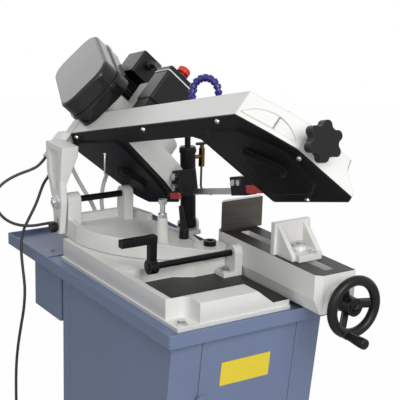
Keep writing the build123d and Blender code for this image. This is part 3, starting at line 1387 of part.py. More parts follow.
# Belt pan: the black lower half of the belt housing, with a lip that its cover sits on.
with BuildPart() as belt_base:
    with BuildSketch(over(belt_low_v)):
        with Locations((BELT_CENTRE[0], -BELT_CENTRE[1])):
            RectangleRounded(*BELT_SIZE, BELT_CORNER, rotation=-BELT_ANGLE)
    extrude(amount=BELT_SEAM_V - belt_low_v)
    with BuildSketch(over(BELT_SEAM_V - BELT_LIP_H)):
        with Locations((BELT_CENTRE[0], -BELT_CENTRE[1])):
            RectangleRounded(
                BELT_SIZE[0] + 2 * BELT_LIP, BELT_SIZE[1] + 2 * BELT_LIP, BELT_CORNER + BELT_LIP,
                rotation=-BELT_ANGLE,
            )
    extrude(amount=BELT_LIP_H)
    with BuildSketch(over(belt_low_v + WALL)):
        with Locations((BELT_CENTRE[0], -BELT_CENTRE[1])):
            RectangleRounded(
                BELT_SIZE[0] - 2 * WALL, BELT_SIZE[1] - 2 * WALL, BELT_CORNER - WALL, rotation=-BELT_ANGLE
            )
    extrude(amount=BELT_SEAM_V - belt_low_v, mode=Mode.SUBTRACT)
keep(belt_base, "belt_base")

# Belt cover: a deep black lid over the pulleys.
with BuildPart() as belt_cover:
    with BuildSketch(over(BELT_SEAM_V)):
        with Locations((BELT_CENTRE[0], -BELT_CENTRE[1])):
            RectangleRounded(*BELT_SIZE, BELT_CORNER, rotation=-BELT_ANGLE)
    extrude(amount=BELT_TOP_V - BELT_SEAM_V)
    fillet(belt_cover.faces().sort_by(Axis(BOW.origin, BOW.y_dir))[-1].edges(), 9)
    with BuildSketch(over(BELT_SEAM_V)):
        with Locations((BELT_CENTRE[0], -BELT_CENTRE[1])):
            RectangleRounded(
                BELT_SIZE[0] - 2 * WALL, BELT_SIZE[1] - 2 * WALL, BELT_CORNER - WALL, rotation=-BELT_ANGLE
            )
    extrude(amount=BELT_TOP_V - BELT_SEAM_V - WALL, mode=Mode.SUBTRACT)
keep(belt_cover, "belt_cover")

# Terminal box saddled on the motor.
with BuildPart() as terminal_box:
    with BuildSketch(BOW.offset(MOTOR_AT[1] - MOTOR_R + 16)):
        with Locations(TERMINAL_AT):
            RectangleRounded(TERMINAL_BOX[0], TERMINAL_BOX[1], 6)
    extrude(amount=-TERMINAL_BOX[2] - 16)
    with BuildSketch(over(MOTOR_V[0])):
        with Locations((MOTOR_AT[0], -MOTOR_AT[1])):
            Circle(MOTOR_R + RUN)
    extrude(amount=belt_low_v - MOTOR_V[0], mode=Mode.SUBTRACT)
keep(terminal_box, "terminal_box")

# Switch box on the spine's back: box, bright gasket and lid with the emergency stop.
switch_t = -FRAME_BACK - SWITCH_FOOT[2]
with BuildPart() as switch_box:
    with BuildSketch(BOW.offset(-FRAME_BACK)):
        with Locations((SWITCH_AT[0], (STRIP_V + SPINE_V) / 2)):
            Rectangle(SWITCH_FOOT[0], SWITCH_FOOT[1])
    extrude(amount=switch_t + FRAME_BACK)
    with BuildSketch(BOW.offset(switch_t)):
        with Locations(SWITCH_AT):
            RectangleRounded(SWITCH_BOX[0], SWITCH_BOX[1], 6)
    extrude(amount=-SWITCH_BOX[2])
keep(switch_box, "switch_box")

gasket_t = switch_t - SWITCH_BOX[2]
with BuildPart() as gasket:
    with BuildSketch(BOW.offset(gasket_t)):
        with Locations(SWITCH_AT):
            RectangleRounded(SWITCH_BOX[0] + 3, SWITCH_BOX[1] + 3, 7)
    extrude(amount=-GASKET_T)
keep(gasket, "switch_gasket")

lid_t = gasket_t - GASKET_T
estop_at = (SWITCH_AT[0] - 4, SWITCH_AT[1] - 2)
collar_t = lid_t - LID_T - ESTOP_COLLAR
with BuildPart() as switch_lid:
    with BuildSketch(BOW.offset(lid_t)):
        with Locations(SWITCH_AT):
            RectangleRounded(SWITCH_BOX[0], SWITCH_BOX[1], 6)
    extrude(amount=-LID_T)
    fillet(switch_lid.faces().sort_by(Axis(BOW.origin, BOW.z_dir))[0].edges(), 3)
    with BuildSketch(BOW.offset(lid_t - LID_T)):
        with Locations(estop_at):
            Circle(ESTOP_R + 2)
    extrude(amount=-ESTOP_COLLAR)
    with BuildSketch(BOW.offset(collar_t)):
        with Locations(estop_at):
            Circle(ESTOP_STEM_R + SLIDE)
    extrude(amount=ESTOP_COLLAR + LID_T / 2, mode=Mode.SUBTRACT)
keep(switch_lid, "switch_lid")

# Emergency stop: a red mushroom button on a stem, pressed into the lid.
with BuildPart() as e_stop:
    with BuildSketch(BOW.offset(collar_t + ESTOP_COLLAR / 2)):
        with Locations(estop_at):
            Circle(ESTOP_STEM_R)
    extrude(amount=-ESTOP_COLLAR / 2 - ESTOP_TRAVEL - 1)
    with BuildSketch(BOW.offset(collar_t - ESTOP_TRAVEL - 1)):
        with Locations(estop_at):
            Circle(ESTOP_R)
    extrude(amount=-ESTOP_H)
    fillet(e_stop.faces().sort_by(Axis(BOW.origin, BOW.z_dir))[0].edges(), 5)
keep(e_stop, "e_stop")

# Blue coolant hose of ball-and-socket links on the spine, bent over towards the blade.
LINK_R = 8.5
LINK_COUNT = 12
HOSE_ROOT = (186, 212)
hose_start = bow_point(HOSE_ROOT[0], HOSE_ROOT[1], -FRAME_BACK)
hose_arc = ThreePointArc(
    bow_point(HOSE_ROOT[0], HOSE_ROOT[1], -FRAME_BACK - 12),
    bow_point(194, 246, -94),
    bow_point(228, 207, -76),
)
with BuildPart() as coolant_hose:
    with BuildSketch(Plane(origin=hose_start, x_dir=BOW.x_dir, z_dir=-BOW.z_dir)):
        Circle(LINK_R)
    extrude(amount=14)
    with BuildSketch(Plane(origin=hose_arc @ 0, z_dir=hose_arc % 0)):
        Circle(LINK_R - 3)
    sweep(path=hose_arc)
    for link in range(LINK_COUNT):
        with BuildSketch(Plane(origin=hose_arc @ (link / LINK_COUNT), z_dir=hose_arc % (link / LINK_COUNT))):
            Circle(LINK_R)
        extrude(amount=7, taper=14)
    with BuildSketch(Plane(origin=hose_arc @ 1, z_dir=hose_arc % 1)):
        Circle(LINK_R - 2)
    extrude(amount=16, taper=10)
keep(coolant_hose, "coolant_hose")

# Feed cylinder: it lowers the bow at a steady rate. Its rod ends in an eye round the gearbox pin.
with BuildPart() as feed_cylinder:
    with BuildSketch(up_cylinder(BODY_START)):
        Circle(CYLINDER_R)
    extrude(amount=CYLINDER_L)
    with BuildSketch(up_cylinder(BODY_START + CYLINDER_L - 14)):
        Circle(CYLINDER_R + 2)
    extrude(amount=10)
    with BuildSketch(beside(CYLINDER_X - 15, CYLINDER_Y, CYLINDER_Z)):
        Circle(11)
    extrude(amount=30)
    with BuildSketch(up_cylinder(0)):
        Rectangle(30, 20)
    extrude(amount=BODY_START)
    with BuildSketch(beside(CYLINDER_X - 24, CYLINDER_Y, CYLINDER_Z)):
        Circle(CYLINDER_PIN_R)
    extrude(amount=48)
    with BuildSketch(up_cylinder(BODY_START + CYLINDER_L)):
        Circle(ROD_R + RUN)
    extrude(amount=12 - CYLINDER_L, mode=Mode.SUBTRACT)
keep(feed_cylinder, "feed_cylinder")

with BuildPart() as feed_rod:
    with BuildSketch(beside(CYLINDER_X - 8, TOP_PIN_Y, TOP_PIN_Z)):
        Circle(16)
    extrude(amount=16)
    with BuildSketch(up_cylinder(feed_l - 12)):
        Circle(ROD_R)
    extrude(amount=-150)
    with BuildSketch(beside(CYLINDER_X - 20, TOP_PIN_Y, TOP_PIN_Z)):
        Circle(TOP_EYE_R)
    extrude(amount=40, mode=Mode.SUBTRACT)
keep(feed_rod, "feed_rod")

# Brass feed tap on the cylinder's side with a thin pipe, and its small lever.
TAP_X = CYLINDER_X + 40
TAP_Y = CYLINDER_Y + 11
TAP_Z = 922
with BuildPart() as feed_tap:
    with BuildSketch(beside(CYLINDER_X + CYLINDER_R - 3, TAP_Y, TAP_Z)):
        Circle(4.5)
    extrude(amount=TAP_X - CYLINDER_X - CYLINDER_R + 3)
    with BuildSketch(level(TAP_Z - 24, TAP_X, TAP_Y)):
        RegularPolygon(8, 6)
    extrude(amount=44)
    with BuildSketch(level(TAP_Z + 20, TAP_X, TAP_Y)):
        Circle(5)
    extrude(amount=8)
    with BuildLine(Plane.XY, mode=Mode.PRIVATE) as pipe_line:
        FilletPolyline(
            (TAP_X, TAP_Y, TAP_Z - 24), (TAP_X, TAP_Y, 842), (TAP_X + 24, TAP_Y - 12, 828), radius=16
        )
    with BuildSketch(level(TAP_Z - 24, TAP_X, TAP_Y)):
        Circle(2.6)
    sweep(path=pipe_line.wires()[0])
    with BuildSketch(up_cylinder(BODY_START)):
        Circle(CYLINDER_R + RUN)
    extrude(amount=CYLINDER_L, mode=Mode.SUBTRACT)
keep(feed_tap, "feed_tap")

with BuildPart() as tap_lever:
    with BuildSketch(level(TAP_Z + 28 + APART, TAP_X, TAP_Y)):
        SlotOverall(34, 9)
    extrude(amount=5)
keep(tap_lever, "tap_lever")

# Mains lead: a black cable from a tapered boot on the rear arm, down behind the stand to the floor.
CABLE_R = 3.5
HOSE_R = 5
BOOT_L = 26
BOOT_R = 7
boot_root = Vector(-150, 357, 884)
boot_dir = Vector(-0.1, 0.75, -0.65).normalized()
boot_end = boot_root + boot_dir * BOOT_L
with BuildPart() as mains_boot:
    with BuildSketch(Plane(origin=boot_end - boot_dir * (BOOT_L + 6), z_dir=boot_dir)):
        Circle(BOOT_R)
    with BuildSketch(Plane(origin=boot_end, z_dir=boot_dir)):
        Circle(CABLE_R + 1)
    loft()
    add(rear_arm.part, mode=Mode.SUBTRACT)
keep(mains_boot, "mains_boot")


def lay(label, route, tube_r):
    """A tube along straight runs with tangent arcs, whose bends and volume are printed."""
    points = [Vector(*spot) for spot in route]
    bends = []
    for before, corner, after in zip(points, points[1:], points[2:]):
        turn = (corner - before).get_angle(after - corner)
        shorter = min((corner - before).length, (after - corner).length)
        bends.append(0.45 * shorter / tan(radians(turn) / 2))
    with BuildPart() as tube:
        with BuildLine() as line:
            FilletPolyline(*points, radius=bends)
        with BuildSketch(Plane(origin=points[0], z_dir=points[1] - points[0])):
            Circle(tube_r)
        sweep(path=line.wires()[0])
    length = line.wires()[0].length
    filled = tube.part.volume / (pi * tube_r**2 * length)
    print(label, "length", round(length), "tightest bend", round(min(bends), 1), "filled", round(filled, 3))
    keep(tube, label)


lay(
    "mains_cable",
    [
        boot_end, boot_end + boot_dir * 22, (-161, 401, 829), (-174, 400, 797), (-192, 404, 762),
        (-208, 409, 726), (-213, 404, 686), (-214, 393, 644), (-214.5, 380, 600), (-216, 384, 548),
        (-220, 398, 490), (-223, 412, 430), (-225, 419, 365), (-227, 415, 265), (-231, 408, 165),
        (-226, 404, 88), (-206, 400, 30), (-176, 392, 3.6), (-137, 392, 3.6),
    ],
    CABLE_R,
)

# Rest of the mains lead: a flat coil on the floor behind the stand, closed in by half turns.
COIL_X = -130
COIL_Y = 392
COIL_Z = 3.6
COIL_R = 55.6
COIL_STEP = 3.9
COIL_HALVES = 9
COIL_EASE = 0.9
with BuildPart() as mains_coil:
    with BuildLine() as coil_line:
        Line((COIL_X - 2 * CABLE_R, COIL_Y, COIL_Z), (COIL_X, COIL_Y, COIL_Z))
        start_y = COIL_Y
        for half in range(COIL_HALVES):
            reach = COIL_R - half * COIL_STEP - COIL_EASE * (half == COIL_HALVES - 1)
            side = 1 if half % 2 == 0 else -1
            ThreePointArc(
                (COIL_X, start_y, COIL_Z),
                (COIL_X + side * reach, start_y - side * reach, COIL_Z),
                (COIL_X, start_y - 2 * side * reach, COIL_Z),
            )
            start_y = start_y - 2 * side * reach
        Line((COIL_X, start_y, COIL_Z), (COIL_X - 2 * CABLE_R, start_y, COIL_Z))
    with BuildSketch(Plane(origin=(COIL_X - 2 * CABLE_R, COIL_Y, COIL_Z), z_dir=(1, 0, 0))):
        Circle(CABLE_R)
    sweep(path=coil_line.wires()[0])
keep(mains_coil, "mains_coil")
coil_path = coil_line.wires()[0]
samples = [coil_path @ (step / 600) for step in range(601)]
near = 30
gap = min(
    (samples[i] - samples[j]).length for i in range(601) for j in range(i + near, 601)
) - 2 * CABLE_R
print("mains_coil length", round(coil_path.length), "least gap to itself", round(gap, 2))

# Angled mains plug, flat on the floor inside the coil with its two pins up, fed from its side.
PLUG_R = 15
PLUG_H = 17
PLUG_AT = (COIL_X - 7, start_y + 22)
with BuildPart() as mains_plug:
    with BuildSketch(level(0.1, *PLUG_AT)):
        Circle(PLUG_R)
    extrude(amount=PLUG_H, taper=4)
    with BuildSketch(level(0.1, COIL_X - 2 * CABLE_R - 2, start_y + 6)):
        Rectangle(4, 14)
    extrude(amount=2 * CABLE_R)
    with BuildSketch(level(PLUG_H, *PLUG_AT)):
        with GridLocations(19, 1, 2, 1):
            Circle(2.2)
    extrude(amount=18)
keep(mains_plug, "mains_plug")

# Motor cable: a loop from the gland on the arm's head out to the left and back to the swivel arm.
motor_start = bow_point(*MOTOR_GLAND_AT, BLOCK_T + GLAND_L)
motor_end = arm_gland_root + arm_gland_dir * (ARM_GLAND_L + ARM_WALL_T / 2)
lay(
    "motor_cable",
    [
        motor_start, motor_start + BOW.z_dir * 24, (-190, 392, 884), (-216, 399, 876), (-246, 404, 863),
        (-270, 404, 846), (-281, 399, 822), (-276, 392, 795), (-258, 386, 772), (-230, 382, 757),
        (-195, 378, 751), (-158, 374, 754), motor_end + arm_gland_dir * 28, motor_end,
    ],
    CABLE_R,
)

# Two pale coolant return hoses from the bow down to spigots in the rear tray.
hose_b_start = hose_b_bend + hose_b_dir * ELBOW_L
hose_foot_z = TRAY_FLOOR_Z + SPIGOT_H
lay(
    "return_hose",
    [
        HOSE_A_TOP, (*HOSE_A_TOP[:2], 900), (-84, 380, 868), (-58, 380, 822), (-36, 376, 785),
        (-24, 372, 748), (*HOSE_A_AT, hose_foot_z + 19), (*HOSE_A_AT, hose_foot_z),
    ],
    HOSE_R,
)
lay(
    "drain_hose",
    [
        hose_b_start, hose_b_start + hose_b_dir * 20, (18, 420, 824), (8, 414, 792), (4, 404, 762),
        (*HOSE_B_AT, hose_foot_z + 26), (*HOSE_B_AT, hose_foot_z),
    ],
    HOSE_R,
)
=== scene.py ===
import bpy
import bmesh
from math import cos, pi, radians, sin
from mathutils import Matrix, Vector


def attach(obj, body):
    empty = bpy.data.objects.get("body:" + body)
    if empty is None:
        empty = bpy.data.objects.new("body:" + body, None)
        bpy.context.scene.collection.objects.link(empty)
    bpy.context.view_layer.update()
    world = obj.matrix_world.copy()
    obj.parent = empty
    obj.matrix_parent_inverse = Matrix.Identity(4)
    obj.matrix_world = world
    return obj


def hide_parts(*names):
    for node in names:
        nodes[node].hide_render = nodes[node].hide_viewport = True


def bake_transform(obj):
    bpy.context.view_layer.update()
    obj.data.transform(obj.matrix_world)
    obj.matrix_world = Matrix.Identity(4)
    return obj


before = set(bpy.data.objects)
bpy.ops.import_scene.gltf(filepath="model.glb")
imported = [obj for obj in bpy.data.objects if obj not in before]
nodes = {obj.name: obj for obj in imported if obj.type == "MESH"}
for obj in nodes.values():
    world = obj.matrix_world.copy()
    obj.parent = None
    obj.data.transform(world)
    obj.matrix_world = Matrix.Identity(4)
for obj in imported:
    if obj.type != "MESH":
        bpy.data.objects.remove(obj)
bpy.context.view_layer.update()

# Cabinet, door, tray, rear pan and coolant tank: folded sheet steel, powder coated in a blue grey.
# The coat has a fine orange peel and is rubbed thin and pale on the folds and edges.
STAND_BLUE_A, STAND_BLUE_B = (0.114, 0.150, 0.252), (0.136, 0.178, 0.290)
STAND_BLUE_EDGE = (0.24, 0.28, 0.36)
COAT_SMOOTHER, COAT_ROUGHER = 0.06, 0.08
FLOAT, COLOUR, VECTOR = "NodeSocketFloat", "NodeSocketColor", "NodeSocketVector"


def new_material(name):
    """An empty material with its shader, ready for a finish."""
    material = bpy.data.materials.new(name)
    material.use_nodes = True
    tree = material.node_tree
    shader = tree.nodes["Principled BSDF"]
    return material, tree, shader


def new_group(name, inputs, outputs):
    """A shader node group with named sockets."""
    group = bpy.data.node_groups.new(name, "ShaderNodeTree")
    for label, kind, value in inputs:
        socket = group.interface.new_socket(label, in_out="INPUT", socket_type=kind)
        if value is not None:
            socket.default_value = value
    for label, kind in outputs:
        group.interface.new_socket(label, in_out="OUTPUT", socket_type=kind)
    return group, group.nodes.new("NodeGroupInput"), group.nodes.new("NodeGroupOutput")


# Mottle: a soft cloud between two shades, as on every painted, cast or moulded face.
mottle, m_in, m_out = new_group(
    "mottle",
    [("Shade A", COLOUR, (0.5, 0.5, 0.5, 1)), ("Shade B", COLOUR, (0.5, 0.5, 0.5, 1)), ("Scale", FLOAT, 14)],
    [("Colour", COLOUR), ("Cloud", FLOAT)],
)
m_place = mottle.nodes.new("ShaderNodeTexCoord")
m_noise = mottle.nodes.new("ShaderNodeTexNoise")
m_noise.inputs["Detail"].default_value = 5
m_noise.inputs["Roughness"].default_value = 0.6
m_mix = mottle.nodes.new("ShaderNodeMix")
m_mix.data_type = "RGBA"
mottle.links.new(m_place.outputs["Object"], m_noise.inputs["Vector"])
mottle.links.new(m_in.outputs["Scale"], m_noise.inputs["Scale"])
mottle.links.new(m_noise.outputs["Fac"], m_mix.inputs["Factor"])
mottle.links.new(m_in.outputs["Shade A"], m_mix.inputs["A"])
mottle.links.new(m_in.outputs["Shade B"], m_mix.inputs["B"])
mottle.links.new(m_mix.outputs["Result"], m_out.inputs["Colour"])
mottle.links.new(m_noise.outputs["Fac"], m_out.inputs["Cloud"])

# Grain: fine relief in a surface, such as orange peel, sand casting or moulded texture.
grain, g_in, g_out = new_group(
    "grain",
    [("Scale", FLOAT, 600), ("Depth", FLOAT, 0.1), ("Normal", VECTOR, None)],
    [("Normal", VECTOR)],
)
g_place = grain.nodes.new("ShaderNodeTexCoord")
g_noise = grain.nodes.new("ShaderNodeTexNoise")
g_noise.inputs["Detail"].default_value = 3
g_bump = grain.nodes.new("ShaderNodeBump")
g_bump.inputs["Distance"].default_value = 0.0006
grain.links.new(g_place.outputs["Object"], g_noise.inputs["Vector"])
grain.links.new(g_in.outputs["Scale"], g_noise.inputs["Scale"])
grain.links.new(g_in.outputs["Depth"], g_bump.inputs["Strength"])
grain.links.new(g_in.outputs["Normal"], g_bump.inputs["Normal"])
grain.links.new(g_noise.outputs["Fac"], g_bump.inputs["Height"])
grain.links.new(g_bump.outputs["Normal"], g_out.inputs["Normal"])

# Soft edge: the small radius that paint and moulds leave on an edge, and a mask of those edges.
soft_edge, s_in, s_out = new_group(
    "soft_edge", [("Radius", FLOAT, 0.0015)], [("Normal", VECTOR), ("Edge", FLOAT)]
)
s_bevel = soft_edge.nodes.new("ShaderNodeBevel")
s_bevel.samples = 6
s_true = soft_edge.nodes.new("ShaderNodeNewGeometry")
s_dot = soft_edge.nodes.new("ShaderNodeVectorMath")
s_dot.operation = "DOT_PRODUCT"
s_map = soft_edge.nodes.new("ShaderNodeMapRange")
s_map.inputs["From Min"].default_value = 0.995
s_map.inputs["From Max"].default_value = 0.85
soft_edge.links.new(s_in.outputs["Radius"], s_bevel.inputs["Radius"])
soft_edge.links.new(s_bevel.outputs["Normal"], s_dot.inputs[0])
soft_edge.links.new(s_true.outputs["Normal"], s_dot.inputs[1])
soft_edge.links.new(s_dot.outputs["Value"], s_map.inputs["Value"])
soft_edge.links.new(s_bevel.outputs["Normal"], s_out.inputs["Normal"])
soft_edge.links.new(s_map.outputs["Result"], s_out.inputs["Edge"])


def use(tree, group, **values):
    """Place a node group in a material with its own values."""
    node = tree.nodes.new("ShaderNodeGroup")
    node.node_tree = group
    for label, value in values.items():
        node.inputs[label.replace("_", " ")].default_value = value
    return node


def finish_of(
    name, shade_a, shade_b, rough, cloud=14, peel=600, depth=0.1, edge=0.0015, edge_wear_and_highlight=None, edge_wear_and_highlight_share=0.0, gloss=None
):
    """A coloured finish: mottled shades, a fine relief, rounded edges and, if named, an edge tint that is
    rubbed wear on most finishes and a painted highlight on the white castings and the blade cover.
    """
    material, tree, shader = new_material(name)
    shades = use(tree, mottle, Shade_A=(*shade_a, 1), Shade_B=(*shade_b, 1), Scale=cloud)
    corner = use(tree, soft_edge, Radius=edge)
    relief = use(tree, grain, Scale=peel, Depth=depth)
    tree.links.new(corner.outputs["Normal"], relief.inputs["Normal"])
    tree.links.new(relief.outputs["Normal"], shader.inputs["Normal"])
    spread = tree.nodes.new("ShaderNodeMapRange")
    spread.inputs["To Min"].default_value = rough - COAT_SMOOTHER
    spread.inputs["To Max"].default_value = rough + COAT_ROUGHER
    tree.links.new(shades.outputs["Cloud"], spread.inputs["Value"])
    tree.links.new(spread.outputs["Result"], shader.inputs["Roughness"])
    if gloss is not None:
        shader.inputs["Specular IOR Level"].default_value = gloss
    # Edge tint: rubbed wear on most finishes, a painted highlight on the white castings and the blade cover.
    if edge_wear_and_highlight:
        amount = tree.nodes.new("ShaderNodeMath")
        amount.operation = "MULTIPLY"
        amount.inputs[1].default_value = edge_wear_and_highlight_share
        edge_wear_and_highlight_mix = tree.nodes.new("ShaderNodeMix")
        edge_wear_and_highlight_mix.data_type = "RGBA"
        edge_wear_and_highlight_mix.inputs["B"].default_value = (*edge_wear_and_highlight, 1)
        tree.links.new(corner.outputs["Edge"], amount.inputs[0])
        tree.links.new(amount.outputs["Value"], edge_wear_and_highlight_mix.inputs["Factor"])
        tree.links.new(shades.outputs["Colour"], edge_wear_and_highlight_mix.inputs["A"])
        tree.links.new(edge_wear_and_highlight_mix.outputs["Result"], shader.inputs["Base Color"])
    else:
        tree.links.new(shades.outputs["Colour"], shader.inputs["Base Color"])
    return material


def put_on(material, *names):
    """Give the named CAD nodes a finish."""
    for name in names:
        mesh = nodes[name].data
        mesh.materials.clear()
        mesh.materials.append(material)


stand_blue = finish_of(
    "stand_blue", STAND_BLUE_A, STAND_BLUE_B, 0.42, cloud=5, peel=900, depth=0.14, edge=0.003,
    edge_wear_and_highlight=STAND_BLUE_EDGE, edge_wear_and_highlight_share=0.45,
)
put_on(stand_blue, "cabinet", "door", "tray", "rear_tray", "coolant_tank")

# Door furniture: a turn latch of bright zinc, and a plain plate of yellow film stuck on the door.
# The zinc keeps fine draw marks; the plate is smooth with a soft cloud in its colour.
MARKS_SMOOTHER, MARKS_ROUGHER = 0.08, 0.10


def metal_of(name, shade_a, shade_b, rough, stretch, edge=0.0008):
    """Bare metal with tool marks along one axis: the stretch is large across the marks."""
    material, tree, shader = new_material(name)
    place = tree.nodes.new("ShaderNodeTexCoord")
    turn_marks = tree.nodes.new("ShaderNodeMapping")
    turn_marks.inputs["Scale"].default_value = stretch
    marks = tree.nodes.new("ShaderNodeTexNoise")
    marks.inputs["Scale"].default_value = 1
    marks.inputs["Detail"].default_value = 4
    tint = tree.nodes.new("ShaderNodeMix")
    tint.data_type = "RGBA"
    tint.inputs["A"].default_value = (*shade_a, 1)
    tint.inputs["B"].default_value = (*shade_b, 1)
    sheen = tree.nodes.new("ShaderNodeMapRange")
    sheen.inputs["To Min"].default_value = rough - MARKS_SMOOTHER
    sheen.inputs["To Max"].default_value = rough + MARKS_ROUGHER
    cut = tree.nodes.new("ShaderNodeBump")
    cut.inputs["Strength"].default_value = 0.18
    cut.inputs["Distance"].default_value = 0.0003
    corner = use(tree, soft_edge, Radius=edge)
    tree.links.new(place.outputs["Object"], turn_marks.inputs["Vector"])
    tree.links.new(turn_marks.outputs["Vector"], marks.inputs["Vector"])
    tree.links.new(marks.outputs["Fac"], tint.inputs["Factor"])
    tree.links.new(tint.outputs["Result"], shader.inputs["Base Color"])
    tree.links.new(marks.outputs["Fac"], sheen.inputs["Value"])
    tree.links.new(sheen.outputs["Result"], shader.inputs["Roughness"])
    tree.links.new(marks.outputs["Fac"], cut.inputs["Height"])
    tree.links.new(corner.outputs["Normal"], cut.inputs["Normal"])
    tree.links.new(cut.outputs["Normal"], shader.inputs["Normal"])
    shader.inputs["Metallic"].default_value = 1
    return material


zinc = metal_of("zinc", (0.55, 0.55, 0.56), (0.72, 0.72, 0.73), 0.30, (300, 300, 60))
put_on(zinc, "door_latch")
plate_yellow = finish_of(
    "plate_yellow", (0.66, 0.51, 0.018), (0.72, 0.56, 0.026), 0.38, cloud=30, peel=1500, depth=0.05,
    edge=0.0004,
)
put_on(plate_yellow, "notice_plate")

# Base casting: sand-cast iron in thick warm white enamel. The floor of its sunk pit is ground bare
# and shows dark grey tool marks. Two zinc bolts on washers hold it to the tray.
# The white castings' edge tint is a painted highlight: a lighter white laid along every edge.
WHITE_A, WHITE_B, WHITE_HIGHLIGHT_EDGE = (0.66, 0.655, 0.63), (0.75, 0.745, 0.725), (0.82, 0.81, 0.78)
PIT_LOW, PIT_HIGH = 0.7090, 0.7110
ROUND_SIDES, HEX_SIDES, SMALL_ROUND_SIDES = 36, 6, 24
BASE_BOLTS = ((-0.1433, -0.2043, 0.698), (0.078, -0.031, 0.720))
BASE_WASHER_R = 0.0130
WASHER_T, WASHER_EDGE, WASHER_TOP_EDGE = 0.0022, 0.0004, 0.0005

# Bare face: a mask of the faces that look along an axis and lie between two places on it.
bare_face, b_in, b_out = new_group(
    "bare_face", [("Axis", VECTOR, (0, 0, 1)), ("Low", FLOAT, 0), ("High", FLOAT, 1)], [("Mask", FLOAT)]
)
b_place = bare_face.nodes.new("ShaderNodeTexCoord")
b_look, b_along = bare_face.nodes.new("ShaderNodeVectorMath"), bare_face.nodes.new("ShaderNodeVectorMath")
b_look.operation = b_along.operation = "DOT_PRODUCT"
bare_face.links.new(b_place.outputs["Normal"], b_look.inputs[0])
bare_face.links.new(b_in.outputs["Axis"], b_look.inputs[1])
bare_face.links.new(b_place.outputs["Object"], b_along.inputs[0])
bare_face.links.new(b_in.outputs["Axis"], b_along.inputs[1])
b_faces, b_above, b_below = (bare_face.nodes.new("ShaderNodeMath") for _ in range(3))
b_faces.operation, b_above.operation, b_below.operation = "GREATER_THAN", "GREATER_THAN", "LESS_THAN"
b_faces.inputs[1].default_value = 0.95
bare_face.links.new(b_look.outputs["Value"], b_faces.inputs[0])
bare_face.links.new(b_along.outputs["Value"], b_above.inputs[0])
bare_face.links.new(b_in.outputs["Low"], b_above.inputs[1])
bare_face.links.new(b_along.outputs["Value"], b_below.inputs[0])
bare_face.links.new(b_in.outputs["High"], b_below.inputs[1])
b_both, b_all = bare_face.nodes.new("ShaderNodeMath"), bare_face.nodes.new("ShaderNodeMath")
b_both.operation = b_all.operation = "MULTIPLY"
bare_face.links.new(b_above.outputs["Value"], b_both.inputs[0])
bare_face.links.new(b_below.outputs["Value"], b_both.inputs[1])
bare_face.links.new(b_both.outputs["Value"], b_all.inputs[0])
bare_face.links.new(b_faces.outputs["Value"], b_all.inputs[1])
bare_face.links.new(b_all.outputs["Value"], b_out.inputs["Mask"])


def ground_casting(name, axis, low, high, shade_a, shade_b, stretch, rough):
    """White enamel whose one working face is ground bare and shows marks along the grinding."""
    # Its edges carry the painted highlight, a lighter white than the enamel.
    material = finish_of(
        name, WHITE_A, WHITE_B, 0.36, cloud=9, peel=320, depth=0.22, edge=0.0025, edge_wear_and_highlight=WHITE_HIGHLIGHT_EDGE, edge_wear_and_highlight_share=0.3
    )
    tree = material.node_tree
    shader = tree.nodes["Principled BSDF"]
    bare = use(tree, bare_face, Axis=axis, Low=low, High=high)
    place = tree.nodes.new("ShaderNodeTexCoord")
    spread = tree.nodes.new("ShaderNodeMapping")
    spread.inputs["Scale"].default_value = stretch
    marks = tree.nodes.new("ShaderNodeTexNoise")
    marks.inputs["Scale"].default_value = 1
    marks.inputs["Detail"].default_value = 4
    steel = tree.nodes.new("ShaderNodeMix")
    steel.data_type = "RGBA"
    steel.inputs["A"].default_value = (*shade_a, 1)
    steel.inputs["B"].default_value = (*shade_b, 1)
    skin = tree.nodes.new("ShaderNodeMix")
    skin.data_type = "RGBA"
    tree.links.new(place.outputs["Object"], spread.inputs["Vector"])
    tree.links.new(spread.outputs["Vector"], marks.inputs["Vector"])
    tree.links.new(marks.outputs["Fac"], steel.inputs["Factor"])
    tree.links.new(bare.outputs["Mask"], skin.inputs["Factor"])
    tree.links.new(shader.inputs["Base Color"].links[0].from_socket, skin.inputs["A"])
    tree.links.new(steel.outputs["Result"], skin.inputs["B"])
    tree.links.new(skin.outputs["Result"], shader.inputs["Base Color"])
    sheen = tree.nodes.new("ShaderNodeMix")
    sheen.inputs["B"].default_value = rough
    tree.links.new(bare.outputs["Mask"], sheen.inputs["Factor"])
    tree.links.new(shader.inputs["Roughness"].links[0].from_socket, sheen.inputs["A"])
    tree.links.new(sheen.outputs["Result"], shader.inputs["Roughness"])
    metal = tree.nodes.new("ShaderNodeMath")
    metal.operation = "MULTIPLY"
    metal.inputs[1].default_value = 0.8
    tree.links.new(bare.outputs["Mask"], metal.inputs[0])
    tree.links.new(metal.outputs["Value"], shader.inputs["Metallic"])
    return material


def mesh_piece(name, build, material, smooth=None):
    """A new piece from mesh code, linked to the scene, with one finish."""
    shape = bmesh.new()
    build(shape)
    bmesh.ops.recalc_face_normals(shape, faces=shape.faces)
    mesh = bpy.data.meshes.new(name)
    shape.to_mesh(mesh)
    shape.free()
    mesh.materials.append(material)
    piece = bpy.data.objects.new(name, mesh)
    bpy.context.scene.collection.objects.link(piece)
    if smooth is not None:
        mesh.shade_smooth()
        mesh.set_sharp_from_angle(angle=radians(smooth))
    return piece


def skin_rings(shape, rings):
    """Faces between rings of the same count, closed at both ends."""
    count = len(rings[0])
    for first, second in zip(rings, rings[1:]):
        for i in range(count):
            j = (i + 1) % count
            shape.faces.new((first[i], first[j], second[j], second[i]))
    shape.faces.new(rings[0][::-1])
    shape.faces.new(rings[-1])


